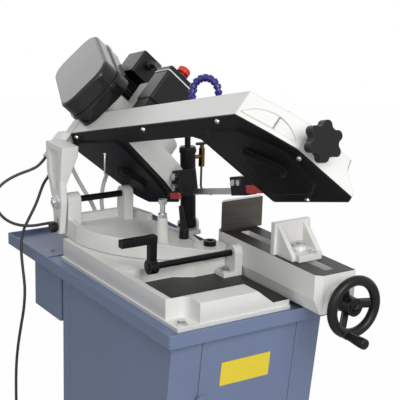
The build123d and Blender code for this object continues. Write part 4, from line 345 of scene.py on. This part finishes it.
def turned(shape, spot, axis, profile, sides):
    """A turned or many-sided piece: rings of a radius at a distance along an axis, closed at both ends."""
    axis = Vector(axis).normalized()
    across = axis.orthogonal().normalized()
    other = axis.cross(across)
    rings = []
    for along, radius in profile:
        middle = Vector(spot) + axis * along
        spokes = [across * cos(2 * pi * i / sides) + other * sin(2 * pi * i / sides) for i in range(sides)]
        rings.append([shape.verts.new(middle + spoke * radius) for spoke in spokes])
    skin_rings(shape, rings)


def washer(shape, spot, radius):
    """A flat washer with broken edges, lying level."""
    foot = [(0, radius - WASHER_EDGE), (WASHER_EDGE, radius)]
    top = [(WASHER_T - WASHER_EDGE, radius), (WASHER_T, radius - WASHER_TOP_EDGE)]
    turned(shape, spot, (0, 0, 1), foot + top, ROUND_SIDES)


put_on(
    ground_casting(
        "pit_casting", (0, 0, 1), PIT_LOW, PIT_HIGH, (0.024, 0.0235, 0.023), (0.058, 0.057, 0.055),
        (240, 14, 14), 0.46,
    ),
    "base_casting",
)
put_on(zinc, "base_bolts")


def base_washers_shape(shape):
    for spot in BASE_BOLTS:
        washer(shape, spot, BASE_WASHER_R)


base_washers = mesh_piece("stand_washers", base_washers_shape, zinc, smooth=40)
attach(base_washers, "stand")

# Vise: bed and fixed jaw are white castings with one ground face each, the bed's top and the jaw's
# front. The moving jaw is all white and held by two zinc bolts, the larger on a stepped washer.
BED_LOW, BED_HIGH = 0.7860, 0.7880
JAW_LOW, JAW_HIGH = -0.0345, -0.0335
JAW_WASHERS = (
    ((0.160, -0.185, 0.8012), 0.0170), ((0.160, -0.185, 0.8112), 0.0128), ((0.172, -0.215, 0.8012), 0.0098),
)
put_on(
    ground_casting(
        "bed_casting", (0, 0, 1), BED_LOW, BED_HIGH, (0.016, 0.0157, 0.0152), (0.042, 0.041, 0.040),
        (300, 12, 12), 0.42,
    ),
    "vise_bed",
)
put_on(
    ground_casting(
        "jaw_casting", (0, -1, 0), JAW_LOW, JAW_HIGH, (0.06, 0.054, 0.049), (0.15, 0.138, 0.128),
        (12, 12, 420), 0.44,
    ),
    "fixed_jaw",
)
# Its edges carry the painted highlight, a lighter white than the enamel.
cast_white = finish_of(
    "cast_white", WHITE_A, WHITE_B, 0.36, cloud=9, peel=320, depth=0.22, edge=0.0035,
    edge_wear_and_highlight=WHITE_HIGHLIGHT_EDGE, edge_wear_and_highlight_share=0.3,
)
put_on(cast_white, "moving_jaw")
put_on(zinc, "jaw_bolts")


def jaw_washers_shape(shape):
    for spot, radius in JAW_WASHERS:
        washer(shape, spot, radius)


jaw_washers = mesh_piece("jaw_washers", jaw_washers_shape, zinc, smooth=40)
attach(jaw_washers, "jaw")

# Lead screw: bright steel bar with a square-shouldered thread cut along it. It stays round where it
# runs in the bed's front end and in the handwheel's hub.
SCREW_X, SCREW_Z, SCREW_R, SCREW_PITCH = 0.160, 0.733, 0.008, 0.005
SCREW_START, THREAD_START, SCREW_END = -0.373, -0.296, 0.054
THREAD_DEPTH, GROOVE_FROM, GROOVE_TO = 0.0018, 0.5, 0.95
bright = metal_of("bright", (0.50, 0.50, 0.51), (0.66, 0.66, 0.67), 0.28, (500, 40, 500))


def thread_shape(shape):
    sides, per_turn = 24, 10
    count = round((SCREW_END - THREAD_START) / SCREW_PITCH * per_turn)
    rings = []
    for step in range(-1, count + 1):
        y = SCREW_START if step < 0 else THREAD_START + step * SCREW_PITCH / per_turn
        ring = []
        for side in range(sides):
            phase = ((y - THREAD_START) / SCREW_PITCH - side / sides) % 1
            grooved = step > 0 and GROOVE_FROM <= phase < GROOVE_TO
            radius = SCREW_R - THREAD_DEPTH if grooved else SCREW_R
            angle = 2 * pi * side / sides
            ring.append(shape.verts.new((SCREW_X + radius * cos(angle), y, SCREW_Z + radius * sin(angle))))
        rings.append(ring)
    skin_rings(shape, rings)


thread = mesh_piece("lead_thread", thread_shape, bright, smooth=40)
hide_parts("lead_screw")
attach(thread, "screw")

# Handwheel and crank grip: black moulded plastic with a fine texture, held on the lead screw by a
# blackened washer, nut and cap. Each is a profile of distances along the screw and radii.
HUB_FACE_Y = -0.3729
HUB_WASHER = [(0, 0.0135), (0.0018, 0.0135), (0.0022, 0.0130)]
HUB_HEX = [(0.0019, 0.0104), (0.0081, 0.0104), (0.0093, 0.0090)]
HUB_CAP = [(0.0091, 0.0078), (0.0113, 0.0070), (0.0129, 0.0050), (0.0137, 0.0022)]
moulded = finish_of(
    "moulded", (0.005, 0.005, 0.006), (0.009, 0.009, 0.0105), 0.33, cloud=25, peel=1800, depth=0.16,
    edge=0.002, edge_wear_and_highlight=(0.06, 0.06, 0.065), edge_wear_and_highlight_share=0.4, gloss=0.24,
)
put_on(moulded, "handwheel", "crank_grip")
black_oxide = finish_of(
    "black_oxide", (0.0035, 0.0035, 0.0044), (0.0075, 0.0075, 0.0090), 0.34, cloud=30, peel=1400, depth=0.12,
    edge=0.0012, edge_wear_and_highlight=(0.10, 0.10, 0.11), edge_wear_and_highlight_share=0.6, gloss=0.15,
)


def hub_nut_shape(shape):
    front = (0, -1, 0)
    hub = Vector((SCREW_X, HUB_FACE_Y, SCREW_Z))
    turned(shape, hub, front, HUB_WASHER, ROUND_SIDES)
    turned(shape, hub, front, HUB_HEX, HEX_SIDES)
    turned(shape, hub, front, HUB_CAP, SMALL_ROUND_SIDES)


hub_nut = mesh_piece("hub_nut", hub_nut_shape, black_oxide, smooth=30)
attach(hub_nut, "screw")

# Work stop: a round rod through the bed's lug, and a cranked arm that is clamped on it by its eye.
# Both are steel, blackened in a bath and rubbed a little bright on the edges.
put_on(black_oxide, "stop_rod", "stop_arm")

# Swivel arm: a white casting that turns on a blackened pin. A zinc stop bolt stands in its cone and a
# black plastic lever locks it.
put_on(cast_white, "swivel_arm")
put_on(black_oxide, "swivel_pin")
put_on(zinc, "stop_bolt")
put_on(moulded, "lock_lever")

# Bow, rear arm and gearbox: white castings on a blackened pivot shaft, which is drawn up by a zinc
# washer and nut outside the arm. A black knob clamps the arm's foot.
PIVOT_NUT = Vector((-0.1652, 0.305, 0.825))
PIVOT_WASHER = [(0, 0.0170), (0.0016, 0.0170), (0.0018, 0.0165)]
PIVOT_HEX = [(0.0018, 0.0148), (0.0096, 0.0148), (0.0106, 0.0132)]
PIVOT_END = [(0.0105, 0.0072), (0.0129, 0.0072), (0.0137, 0.0062)]
put_on(cast_white, "bow_frame", "rear_arm", "gearbox")
put_on(black_oxide, "pivot_shaft")
put_on(moulded, "clamp_knob")


def pivot_nut_shape(shape):
    out = (-1, 0, 0)
    turned(shape, PIVOT_NUT, out, PIVOT_WASHER, ROUND_SIDES)
    turned(shape, PIVOT_NUT, out, PIVOT_HEX, HEX_SIDES)
    turned(shape, PIVOT_NUT, out, PIVOT_END, SMALL_ROUND_SIDES)


pivot_nut = mesh_piece("pivot_nut", pivot_nut_shape, zinc, smooth=30)
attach(pivot_nut, "bow")

# Band and wheels: bright steel. The run that cuts has raked teeth along its lower edge, set in turn to
# the left, straight and to the right.
BOW_RAISE, BOW_CANT = radians(14), radians(45)
BOW_ROOT = Vector((0.084, 0.063, 0.878))
BOW_U = Vector((0, -cos(BOW_RAISE), sin(BOW_RAISE)))
BOW_T = Vector((-cos(BOW_CANT), -sin(BOW_CANT) * sin(BOW_RAISE), -sin(BOW_CANT) * cos(BOW_RAISE)))
BOW_V = BOW_T.cross(BOW_U)
TOOTH_COUNT, TOOTH_START, TOOTH_PITCH = 62, -112, 4.6
TOOTH_H, TOOTH_TIP, TOOTH_L, TOOTH_SET = 0.0022, 0.0040, 0.0042, 0.00025
BAND_EDGE, BAND_HALF_T = 0.0063, 0.00045
put_on(bright, "blade", "drive_wheel", "idler_wheel")


def bow_spot(u, v, t):
    """A place on the bow, given in millimetres forward, to the spine and out of the cover."""
    return BOW_ROOT + (BOW_U * u + BOW_V * v + BOW_T * t) / 1000


def teeth_shape(shape):
    rise = BOW_V * cos(BOW_CANT) - BOW_T * sin(BOW_CANT)
    flat = BOW_V * sin(BOW_CANT) + BOW_T * cos(BOW_CANT)
    for tooth in range(TOOTH_COUNT):
        root = bow_spot(TOOTH_START + TOOTH_PITCH * tooth, 0, 0) - rise * BAND_EDGE
        lean = TOOTH_SET * (tooth % 3 - 1)
        sides = []
        for side in (-BAND_HALF_T, BAND_HALF_T):
            tip = root + BOW_U * TOOTH_TIP - rise * TOOTH_H + flat * (side + lean)
            corners = [root + flat * side, root + BOW_U * TOOTH_L + flat * side, tip]
            sides.append([shape.verts.new(corner) for corner in corners])
        skin_rings(shape, sides)


teeth = mesh_piece("blade_teeth", teeth_shape, bright)
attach(teeth, "bow")

# Blade tension: a slide in gloss black enamel in the bow's back, and a lobed knob of black plastic at
# its front end. The enamel is so smooth that the bright room shows in it.
belt_gloss = finish_of(
    "belt_gloss", (0.006, 0.006, 0.007), (0.010, 0.010, 0.011), 0.16, cloud=6, peel=180, depth=0.05,
    edge=0.003, edge_wear_and_highlight=(0.04, 0.04, 0.044), edge_wear_and_highlight_share=0.4, gloss=0.24,
)
gloss_shader = belt_gloss.node_tree.nodes["Principled BSDF"]
gloss_shader.inputs["Coat Weight"].default_value = 0.16
gloss_shader.inputs["Coat Roughness"].default_value = 0.12
put_on(belt_gloss, "tension_slide")
put_on(moulded, "star_knob")

# Blade guides: blackened blocks, the front one on a sliding bar with two zinc bolts, each with a red
# enamelled guard of bent sheet.
guard_red = finish_of(
    "guard_red", (0.46, 0.02, 0.016), (0.55, 0.03, 0.022), 0.36, cloud=40, peel=1200, depth=0.1,
    edge_wear_and_highlight=(0.62, 0.2, 0.17), edge_wear_and_highlight_share=0.5,
)
put_on(black_oxide, "rear_guide", "front_guide")
put_on(zinc, "front_guide_bolts")
put_on(guard_red, "rear_guard", "front_guard")

# Blade cover: pressed sheet in a dull satin black, its forms shown by a painted highlight on their edges.
# Five bright screws hold it. Their cross slots are thin dark pieces on the heads, painted shade for the
# recesses.
SCREW_SPOTS = ((-250, 233), (68, 235), (351, 235), (481, 117), (381, -5))
SLOT_HALF_L, SLOT_HALF_W, SLOT_LOW_T, SLOT_HIGH_T = 3.2, 0.6, 23.7, 24.15
# The pale edge tint on this finish is a painted highlight on the edges of the pressed forms.
cover_black = finish_of(
    "cover_black", (0.0028, 0.0029, 0.0036), (0.0050, 0.0051, 0.0060), 0.30, cloud=8, peel=700, depth=0.08,
    edge=0.004, edge_wear_and_highlight=(0.045, 0.046, 0.050), edge_wear_and_highlight_share=0.7, gloss=0.05,
)
put_on(cover_black, "blade_cover")
put_on(bright, "bow_screws")
# Painted shade: the dark colour of the thin pieces that stand for the cross recesses.
slot_painted_shade = finish_of("slot_painted_shade", (0.02, 0.02, 0.021), (0.04, 0.04, 0.041), 0.5, cloud=300, peel=3000)


def ribbon(shape, outline, low, high, place):
    """A closed band: a loop of points in two axes carried from low to high along the third."""
    skin_rings(shape, [[shape.verts.new(place(a, b, depth)) for a, b in outline] for depth in (low, high)])


def slots_shape(shape):
    for u, v in SCREW_SPOTS:
        for long, wide in ((SLOT_HALF_L, SLOT_HALF_W), (SLOT_HALF_W, SLOT_HALF_L)):
            corners = [(-long, -wide), (long, -wide), (long, wide), (-long, wide)]
            ribbon(
                shape, corners, SLOT_LOW_T, SLOT_HIGH_T, lambda a, b, t, u=u, v=v: bow_spot(u + a, v + b, t)
            )


slots = mesh_piece("screw_slots", slots_shape, slot_painted_shade)
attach(slots, "bow")

# Hanging rod: a thin bright steel rod that hangs plumb from a round eye on the cover's rear half. A thin
# wire leaves its lower end and is bent to a hook.
ROD_EYE = (-199, 171, 19)
EYE_PROFILE, EYE_MID = [(0, 0.005), (0.006, 0.005), (0.008, 0.0035)], 0.006
ROD_L, ROD_R, ROD_END_R = 0.044, 0.0024, 0.0012
ROD_PROFILE = [(-0.002, ROD_END_R), (0, ROD_R), (ROD_L, ROD_R), (ROD_L + 0.003, ROD_END_R)]
WIRE_R, WIRE_L, WIRE_START, WIRE_LEAN = 0.0009, 0.020, ROD_L + 0.002, 0.08
HOOK_LOW, HOOK_HIGH, HOOK_AXIS = -0.001, 0.005, (0.9, -0.3, 0.3)
EYE_SIDES, ROD_SIDES, WIRE_SIDES = 20, 16, 10


def hanging_rod_shape(shape):
    eye = bow_spot(*ROD_EYE)
    top = eye + BOW_T * EYE_MID
    wire_top = top - Vector((0, 0, WIRE_START))
    bend = wire_top + Vector((WIRE_LEAN * WIRE_L, 0, -WIRE_L))
    turned(shape, eye, BOW_T, EYE_PROFILE, EYE_SIDES)
    turned(shape, top, (0, 0, -1), ROD_PROFILE, ROD_SIDES)
    turned(shape, wire_top, (WIRE_LEAN, 0, -1), [(0, WIRE_R), (WIRE_L, WIRE_R)], WIRE_SIDES)
    turned(shape, bend, HOOK_AXIS, [(HOOK_LOW, WIRE_R), (HOOK_HIGH, WIRE_R)], WIRE_SIDES)


hanging_rod = mesh_piece("hanging_rod", hanging_rod_shape, zinc, smooth=40)
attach(hanging_rod, "bow")

# Belt housing and motor: thick gloss black. The motor's end has a fan grille of four rings on six
# bars, pressed from sheet.
MOTOR_U, MOTOR_END_V, MOTOR_T = -326, 92, -150
GRILLE_RINGS, GRILLE_HALF_W, GRILLE_H = (14, 26, 38, 50), 2, 2
BAR_COUNT, BAR_INNER, BAR_OUTER, BAR_H = 6, 6, 54, 2.6
put_on(belt_gloss, "belt_base", "belt_cover", "motor")


def grille_shape(shape):
    def spot(a, b, drop):
        return bow_spot(MOTOR_U + a, MOTOR_END_V - drop, MOTOR_T + b)

    count = 48
    for ring in GRILLE_RINGS:
        loops = []
        for radius, drop in (
            (ring + GRILLE_HALF_W, 0), (ring + GRILLE_HALF_W, GRILLE_H),
            (ring - GRILLE_HALF_W, GRILLE_H), (ring - GRILLE_HALF_W, 0),
        ):
            turns = [2 * pi * i / count for i in range(count)]
            ring_spots = [spot(radius * cos(turn), radius * sin(turn), drop) for turn in turns]
            loops.append([shape.verts.new(ring_spot) for ring_spot in ring_spots])
        for first, second in zip(loops, loops[1:]):
            for i in range(count):
                j = (i + 1) % count
                shape.faces.new((first[i], first[j], second[j], second[i]))
    for bar in range(BAR_COUNT):
        angle = 2 * pi * bar / BAR_COUNT
        along, aside = Vector((cos(angle), sin(angle))), Vector((-sin(angle), cos(angle)))
        one_side = [(BAR_INNER, -GRILLE_HALF_W), (BAR_OUTER, -GRILLE_HALF_W)]
        other_side = [(BAR_OUTER, GRILLE_HALF_W), (BAR_INNER, GRILLE_HALF_W)]
        ribbon(shape, [along * a + aside * b for a, b in one_side + other_side], 0, BAR_H, spot)


grille = mesh_piece("fan_grille", grille_shape, belt_gloss)
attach(grille, "bow")

# Terminal box, switch box with its gasket and lid, and the red stop button: moulded plastic. A ribbed
# conduit with a hex gland at each end runs from the motor's box to the switch box.
CONDUIT = (
    (-241, 196, -232), (-200, 196, -228), (-150, 196, -200),
    (-108, 196, -150), (-92, 196, -112), (-55, 196, -108),
)
RIB_HIGH, RIB_LOW, RIB_STEPS = 0.0078, 0.0068, 90
GLAND_HEX = [(0, 0.0125), (0.006, 0.0125), (0.0068, 0.0118)]
GLAND_TAIL = [(0.0068, 0.0110), (0.016, 0.0105), (0.018, 0.0092)]
put_on(moulded, "terminal_box", "switch_box", "switch_lid")
gasket_grey = finish_of("gasket_grey", (0.55, 0.56, 0.57), (0.66, 0.67, 0.68), 0.4, cloud=60, peel=1600)
put_on(gasket_grey, "switch_gasket")
stop_red = finish_of(
    "stop_red", (0.52, 0.018, 0.014), (0.60, 0.025, 0.018), 0.3, cloud=60, peel=1600, depth=0.06
)
put_on(stop_red, "e_stop")


def between(spots, place):
    """A place on a smooth curve through the spots: whole numbers are the spots themselves."""
    span = min(int(place), len(spots) - 2)
    part = place - span
    before, after = spots[max(span - 1, 0)], spots[min(span + 2, len(spots) - 1)]
    start, end = spots[span], spots[span + 1]
    return 0.5 * (
        2 * start + (end - before) * part + (2 * before - 5 * start + 4 * end - after) * part**2
        + (3 * start - before - 3 * end + after) * part**3
    )


def conduit_shape(shape):
    spots = [bow_spot(*spot) for spot in CONDUIT]
    middles = [between(spots, step / RIB_STEPS * (len(spots) - 1)) for step in range(RIB_STEPS + 1)]
    sides, loops = 16, []
    for i, middle in enumerate(middles):
        run = (middles[min(i + 1, RIB_STEPS)] - middles[max(i - 1, 0)]).normalized()
        aside = run.cross(BOW_V).normalized()
        above = aside.cross(run)
        radius = RIB_LOW if i % 2 else RIB_HIGH
        spokes = [aside * cos(2 * pi * k / sides) + above * sin(2 * pi * k / sides) for k in range(sides)]
        loops.append([shape.verts.new(middle + spoke * radius) for spoke in spokes])
    skin_rings(shape, loops)
    for spot, toward in ((spots[0], BOW_U), (spots[-1], -BOW_U)):
        turned(shape, spot, toward, GLAND_HEX, HEX_SIDES)
        turned(shape, spot, toward, GLAND_TAIL, SMALL_ROUND_SIDES)


conduit = mesh_piece("conduit", conduit_shape, moulded, smooth=35)
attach(conduit, "bow")

# Coolant hose: a chain of dark blue moulded links, snapped one into the next and arched over the bow's
# spine. The links keep the shape that they are bent to.
link_blue = finish_of(
    "link_blue", (0.007, 0.005, 0.13), (0.012, 0.010, 0.20), 0.3, cloud=60, peel=1600, depth=0.08
)
put_on(link_blue, "coolant_hose")

# Feed gear: a black cylinder and a blackened rod that slow the bow's fall, with a tap and pipe of dark
# bronze screwed into the cylinder's side and a black plastic tap lever.
bronze = metal_of("bronze", (0.12, 0.070, 0.018), (0.22, 0.130, 0.038), 0.30, (400, 400, 80))
put_on(black_oxide, "feed_cylinder", "feed_rod")
put_on(bronze, "feed_tap")
put_on(moulded, "tap_lever")

# Mains lead: round black rubber cable, led out of a tapered boot on the bow's rear arm, hung down
# behind the stand and coiled flat on the floor by its plug.
LEAD_R = 0.0035
COIL_MID_X, COIL_START_Y, LEAD_FLOOR_Z = -130, 392, 3.6
COIL_HALVES, COIL_STEPS, COIL_R, COIL_DRAW_IN, COIL_LAST_DRAW_IN = 9, 8, 55.6, 3.9, 0.9
PLUG_RUN = 7
LEAD_ROUTE = [
    (-152.61, 376.55, 867.06), (-154.81, 393.09, 852.72), (-161, 401, 829), (-174, 400, 797),
    (-192, 404, 762), (-208, 409, 726), (-213, 404, 686), (-214, 393, 644), (-214.5, 380, 600),
    (-216, 384, 548), (-220, 398, 490), (-223, 412, 430), (-225, 419, 365), (-227, 415, 265),
    (-231, 408, 165), (-226, 404, 88), (-206, 400, 30),
    (-176, COIL_START_Y, LEAD_FLOOR_Z), (-137, COIL_START_Y, LEAD_FLOOR_Z),
]
turn_y = COIL_START_Y
for half in range(COIL_HALVES):
    turn_r = COIL_R - COIL_DRAW_IN * half - COIL_LAST_DRAW_IN * (half == COIL_HALVES - 1)
    side = 1 if half % 2 == 0 else -1
    middle_y = turn_y - side * turn_r
    for step in range(COIL_STEPS):
        angle = radians(side * (90 - 180 / COIL_STEPS * step))
        turn_x = COIL_MID_X + side * turn_r * cos(angle)
        LEAD_ROUTE.append((turn_x, middle_y + turn_r * sin(angle), LEAD_FLOOR_Z))
    turn_y -= 2 * side * turn_r
LEAD_ROUTE += [(COIL_MID_X, turn_y, LEAD_FLOOR_Z), (COIL_MID_X - PLUG_RUN, turn_y, LEAD_FLOOR_Z)]
lead_rubber = finish_of(
    "lead_rubber", (0.016, 0.016, 0.018), (0.03, 0.03, 0.032), 0.52, cloud=60, peel=2200, depth=0.2
)
put_on(moulded, "mains_plug", "mains_boot")


def lay_cord(name, route, radius, material):
    """One smooth round cord along its route, in metres, and the points of its middle line."""
    curve = bpy.data.curves.new(name, "CURVE")
    curve.dimensions = "3D"
    spline = curve.splines.new("NURBS")
    spline.points.add(len(route) - 1)
    for point, spot in zip(spline.points, route):
        point.co = (*[value / 1000 for value in spot], 1)
    spline.order_u = 3
    spline.use_endpoint_u = True
    spline.resolution_u = 12
    line_only = bpy.data.objects.new(f"{name}_line", curve)
    middle = [tuple(vertex.co) for vertex in bpy.data.meshes.new_from_object(line_only).vertices]
    curve.bevel_depth = radius
    curve.bevel_resolution = 5
    curve.use_fill_caps = True
    curve.materials.append(material)
    cord = bpy.data.objects.new(name, bpy.data.meshes.new_from_object(line_only))
    bpy.data.objects.remove(line_only)
    cord.data.shade_smooth()
    bpy.context.scene.collection.objects.link(cord)
    return cord, middle


mains_lead, lead_middle = lay_cord("mains_lead", LEAD_ROUTE, LEAD_R, lead_rubber)
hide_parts("mains_cable", "mains_coil")
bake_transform(mains_lead)

# Coil tie: a flat strap of the same black rubber, bent over the strands on one side of the coil. Its
# two ends stand on the floor.
TIE_LOW_X, TIE_HIGH_X, TIE_MID_Y, TIE_HALF_W = -0.1120, -0.0700, 0.3344, 0.004
TIE_LOW, TIE_TOP, TIE_CORNER, TIE_T = 0.0002, 0.0083, 0.003, 0.001
TIE_INNER_CORNER = TIE_CORNER + 0.4 * TIE_T


def tie_shape(shape):
    outer = [
        (TIE_LOW_X, TIE_LOW), (TIE_LOW_X, TIE_TOP - TIE_CORNER), (TIE_LOW_X + TIE_CORNER, TIE_TOP),
        (TIE_HIGH_X - TIE_CORNER, TIE_TOP), (TIE_HIGH_X, TIE_TOP - TIE_CORNER), (TIE_HIGH_X, TIE_LOW),
    ]
    inner_low_x, inner_high_x, inner_top = TIE_LOW_X + TIE_T, TIE_HIGH_X - TIE_T, TIE_TOP - TIE_T
    inner_turn = TIE_TOP - TIE_INNER_CORNER
    inner = [
        (inner_high_x, TIE_LOW), (inner_high_x, inner_turn), (TIE_HIGH_X - TIE_INNER_CORNER, inner_top),
        (TIE_LOW_X + TIE_INNER_CORNER, inner_top), (inner_low_x, inner_turn), (inner_low_x, TIE_LOW),
    ]
    ribbon(shape, outer + inner, TIE_MID_Y - TIE_HALF_W, TIE_MID_Y + TIE_HALF_W, lambda x, z, y: (x, y, z))


coil_tie = mesh_piece("coil_tie", tie_shape, lead_rubber)
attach(coil_tie, "stand")

# Motor cable: a loop of the same rubber cable from a gland on the arm's head out to the left of the
# machine and back into a gland on the swivel arm.
MOTOR_ROUTE = [
    (-151.47, 393.56, 910.0), (-168.44, 389.45, 893.53), (-190, 392, 884), (-216, 399, 876),
    (-246, 404, 863), (-270, 404, 846), (-281, 399, 822), (-276, 392, 795), (-258, 386, 772),
    (-230, 382, 757), (-195, 378, 751), (-158, 374, 754), (-126.11, 362.11, 757), (-106.31, 342.31, 757),
]
motor_lead, motor_middle = lay_cord("motor_lead", MOTOR_ROUTE, LEAD_R, lead_rubber)
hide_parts("motor_cable")
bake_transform(motor_lead)

# Two pale coolant hoses from the bow down to the spigots of the rear pan: soft milky tube that lets a
# little light through.
HOSE_R = 0.005
RETURN_ROUTE = [
    (-100, 372, 920), (-100, 372, 900), (-84, 380, 868), (-58, 380, 822), (-36, 376, 785),
    (-24, 372, 748), (-22, 372, 722), (-22, 372, 703),
]
DRAIN_ROUTE = [
    (19.94, 396.0, 865.94), (19.94, 406.0, 848.62), (18, 420, 824), (8, 414, 792), (4, 404, 762),
    (10, 388, 729), (10, 388, 703),
]
tube_milk, tube_tree, tube_shader = new_material("tube_milk")
tube_shade = use(tube_tree, mottle, Shade_A=(0.66, 0.67, 0.62, 1), Shade_B=(0.74, 0.75, 0.70, 1), Scale=40)
tube_relief = use(tube_tree, grain, Scale=260, Depth=0.12)
tube_tree.links.new(tube_shade.outputs["Colour"], tube_shader.inputs["Base Color"])
tube_tree.links.new(tube_relief.outputs["Normal"], tube_shader.inputs["Normal"])
tube_shader.inputs["Roughness"].default_value = 0.36
tube_shader.inputs["Subsurface Weight"].default_value = 0.25
tube_shader.inputs["Subsurface Radius"].default_value = (0.004, 0.004, 0.003)
for hose_name, hose_node, hose_route, hose_length in (
    ("return_tube", "return_hose", RETURN_ROUTE, 0.236),
    ("drain_tube", "drain_hose", DRAIN_ROUTE, 0.176),
):
    hose, hose_middle = lay_cord(hose_name, hose_route, HOSE_R, tube_milk)
    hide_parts(hose_node)
    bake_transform(hose)

# Floor: a plain pale round floor, wide enough to pass out of view. It reads almost white to the eye and
# keeps a soft shadow of the stand.
FLOOR_R, FLOOR_SIDES, FLOOR_WHITE = 6, 64, 0.985
floor_finish, floor_tree, floor_shader = new_material("floor_finish")
floor_shade = use(floor_tree, mottle, Shade_A=(0.80, 0.80, 0.80, 1), Shade_B=(0.84, 0.84, 0.84, 1), Scale=3)
floor_tree.links.new(floor_shade.outputs["Colour"], floor_shader.inputs["Base Color"])
floor_shader.inputs["Roughness"].default_value = 0.9
floor_white = floor_tree.nodes.new("ShaderNodeEmission")
floor_seen = floor_tree.nodes.new("ShaderNodeLightPath")
floor_share = floor_tree.nodes.new("ShaderNodeMath")
floor_share.operation = "MULTIPLY"
floor_share.inputs[1].default_value = FLOOR_WHITE
floor_mix = floor_tree.nodes.new("ShaderNodeMixShader")
floor_tree.links.new(floor_seen.outputs["Is Camera Ray"], floor_share.inputs[0])
floor_tree.links.new(floor_share.outputs["Value"], floor_mix.inputs["Fac"])
floor_tree.links.new(floor_shader.outputs["BSDF"], floor_mix.inputs[1])
floor_tree.links.new(floor_white.outputs["Emission"], floor_mix.inputs[2])
floor_tree.links.new(floor_mix.outputs["Shader"], floor_tree.nodes["Material Output"].inputs["Surface"])


def floor_shape(shape):
    turns = [2 * pi * i / FLOOR_SIDES for i in range(FLOOR_SIDES)]
    shape.faces.new([shape.verts.new((FLOOR_R * cos(turn), FLOOR_R * sin(turn), 0)) for turn in turns])


floor = mesh_piece("floor", floor_shape, floor_finish)

# Light: a white surround that the eye, metal and gloss see in full and that lights weakly, a soft key
# high in front, a weak light from above, a fill from the left and one behind that shows in the gloss.
SKY_LIGHT = 0.31
world = bpy.data.worlds.new("studio")
bpy.context.scene.world = world
world.use_nodes = True
sky = world.node_tree.nodes["Background"]
sky.inputs["Color"].default_value = (1, 1, 1, 1)
sky_seen = world.node_tree.nodes.new("ShaderNodeLightPath")
sky_gloss, sky_bright, sky_level = (world.node_tree.nodes.new("ShaderNodeMath") for _ in range(3))
sky_gloss.operation = sky_bright.operation = sky_level.operation = "MAXIMUM"
sky_level.inputs[1].default_value = SKY_LIGHT
world.node_tree.links.new(sky_seen.outputs["Is Glossy Ray"], sky_gloss.inputs[0])
world.node_tree.links.new(sky_seen.outputs["Is Transmission Ray"], sky_gloss.inputs[1])
world.node_tree.links.new(sky_seen.outputs["Is Camera Ray"], sky_bright.inputs[0])
world.node_tree.links.new(sky_gloss.outputs["Value"], sky_bright.inputs[1])
world.node_tree.links.new(sky_bright.outputs["Value"], sky_level.inputs[0])
world.node_tree.links.new(sky_level.outputs["Value"], sky.inputs["Strength"])


def soft_light(name, spot, aim, size, watts):
    """A large soft lamp at a spot, turned to a point."""
    data = bpy.data.lights.new(name, "AREA")
    data.shape = "RECTANGLE"
    data.size, data.size_y = size
    data.energy = watts
    lamp = bpy.data.objects.new(name, data)
    lamp.location = spot
    lamp.rotation_euler = (Vector(aim) - Vector(spot)).to_track_quat("-Z", "Y").to_euler()
    lamp.visible_camera = False
    bpy.context.scene.collection.objects.link(lamp)


soft_light("key", (-0.3, -2.75, 2.35), (0, 0, 0.8), (1.5, 1.5), 68)
soft_light("over", (-0.9, 0.1, 3.1), (0, 0, 0.9), (2.0, 1.6), 8)
soft_light("fill", (-1.9, -1.7, 1.9), (-0.1, 0.15, 0.75), (1.2, 1.2), 13)
soft_light("rear", (-0.20, 2.60, 1.85), (0, 0.3, 1.1), (1.8, 1.2), 5)
bpy.context.scene.view_settings.view_transform = "Standard"

# Camera: a long lens a little above the bow, in front and to the left of the machine. It is tilted down
# and rolled by a degree or two.
AZIMUTH = radians(-33.325)
ELEVATION = radians(15.517)
ROLL = radians(-1.651)
CAMERA_SPOT = (-1.268, -1.970, 1.535)
FOCAL_PIXELS, PICTURE_PIXELS, SENSOR_W = 1132.264, 400, 36
back = Vector((sin(AZIMUTH) * cos(ELEVATION), -cos(AZIMUTH) * cos(ELEVATION), sin(ELEVATION)))
level_right = (-back).cross(Vector((0, 0, 1))).normalized()
level_down = (-back).cross(level_right)
right = cos(ROLL) * level_right + sin(ROLL) * level_down
down = cos(ROLL) * level_down - sin(ROLL) * level_right
camera_data = bpy.data.cameras.new("camera")
camera_data.sensor_width = SENSOR_W
camera_data.lens = SENSOR_W * FOCAL_PIXELS / PICTURE_PIXELS
camera = bpy.data.objects.new("camera", camera_data)
bpy.context.scene.collection.objects.link(camera)
turn = Matrix((right, -down, back)).transposed().to_4x4()
camera.matrix_world = Matrix.Translation(CAMERA_SPOT) @ turn
bpy.context.scene.camera = camera
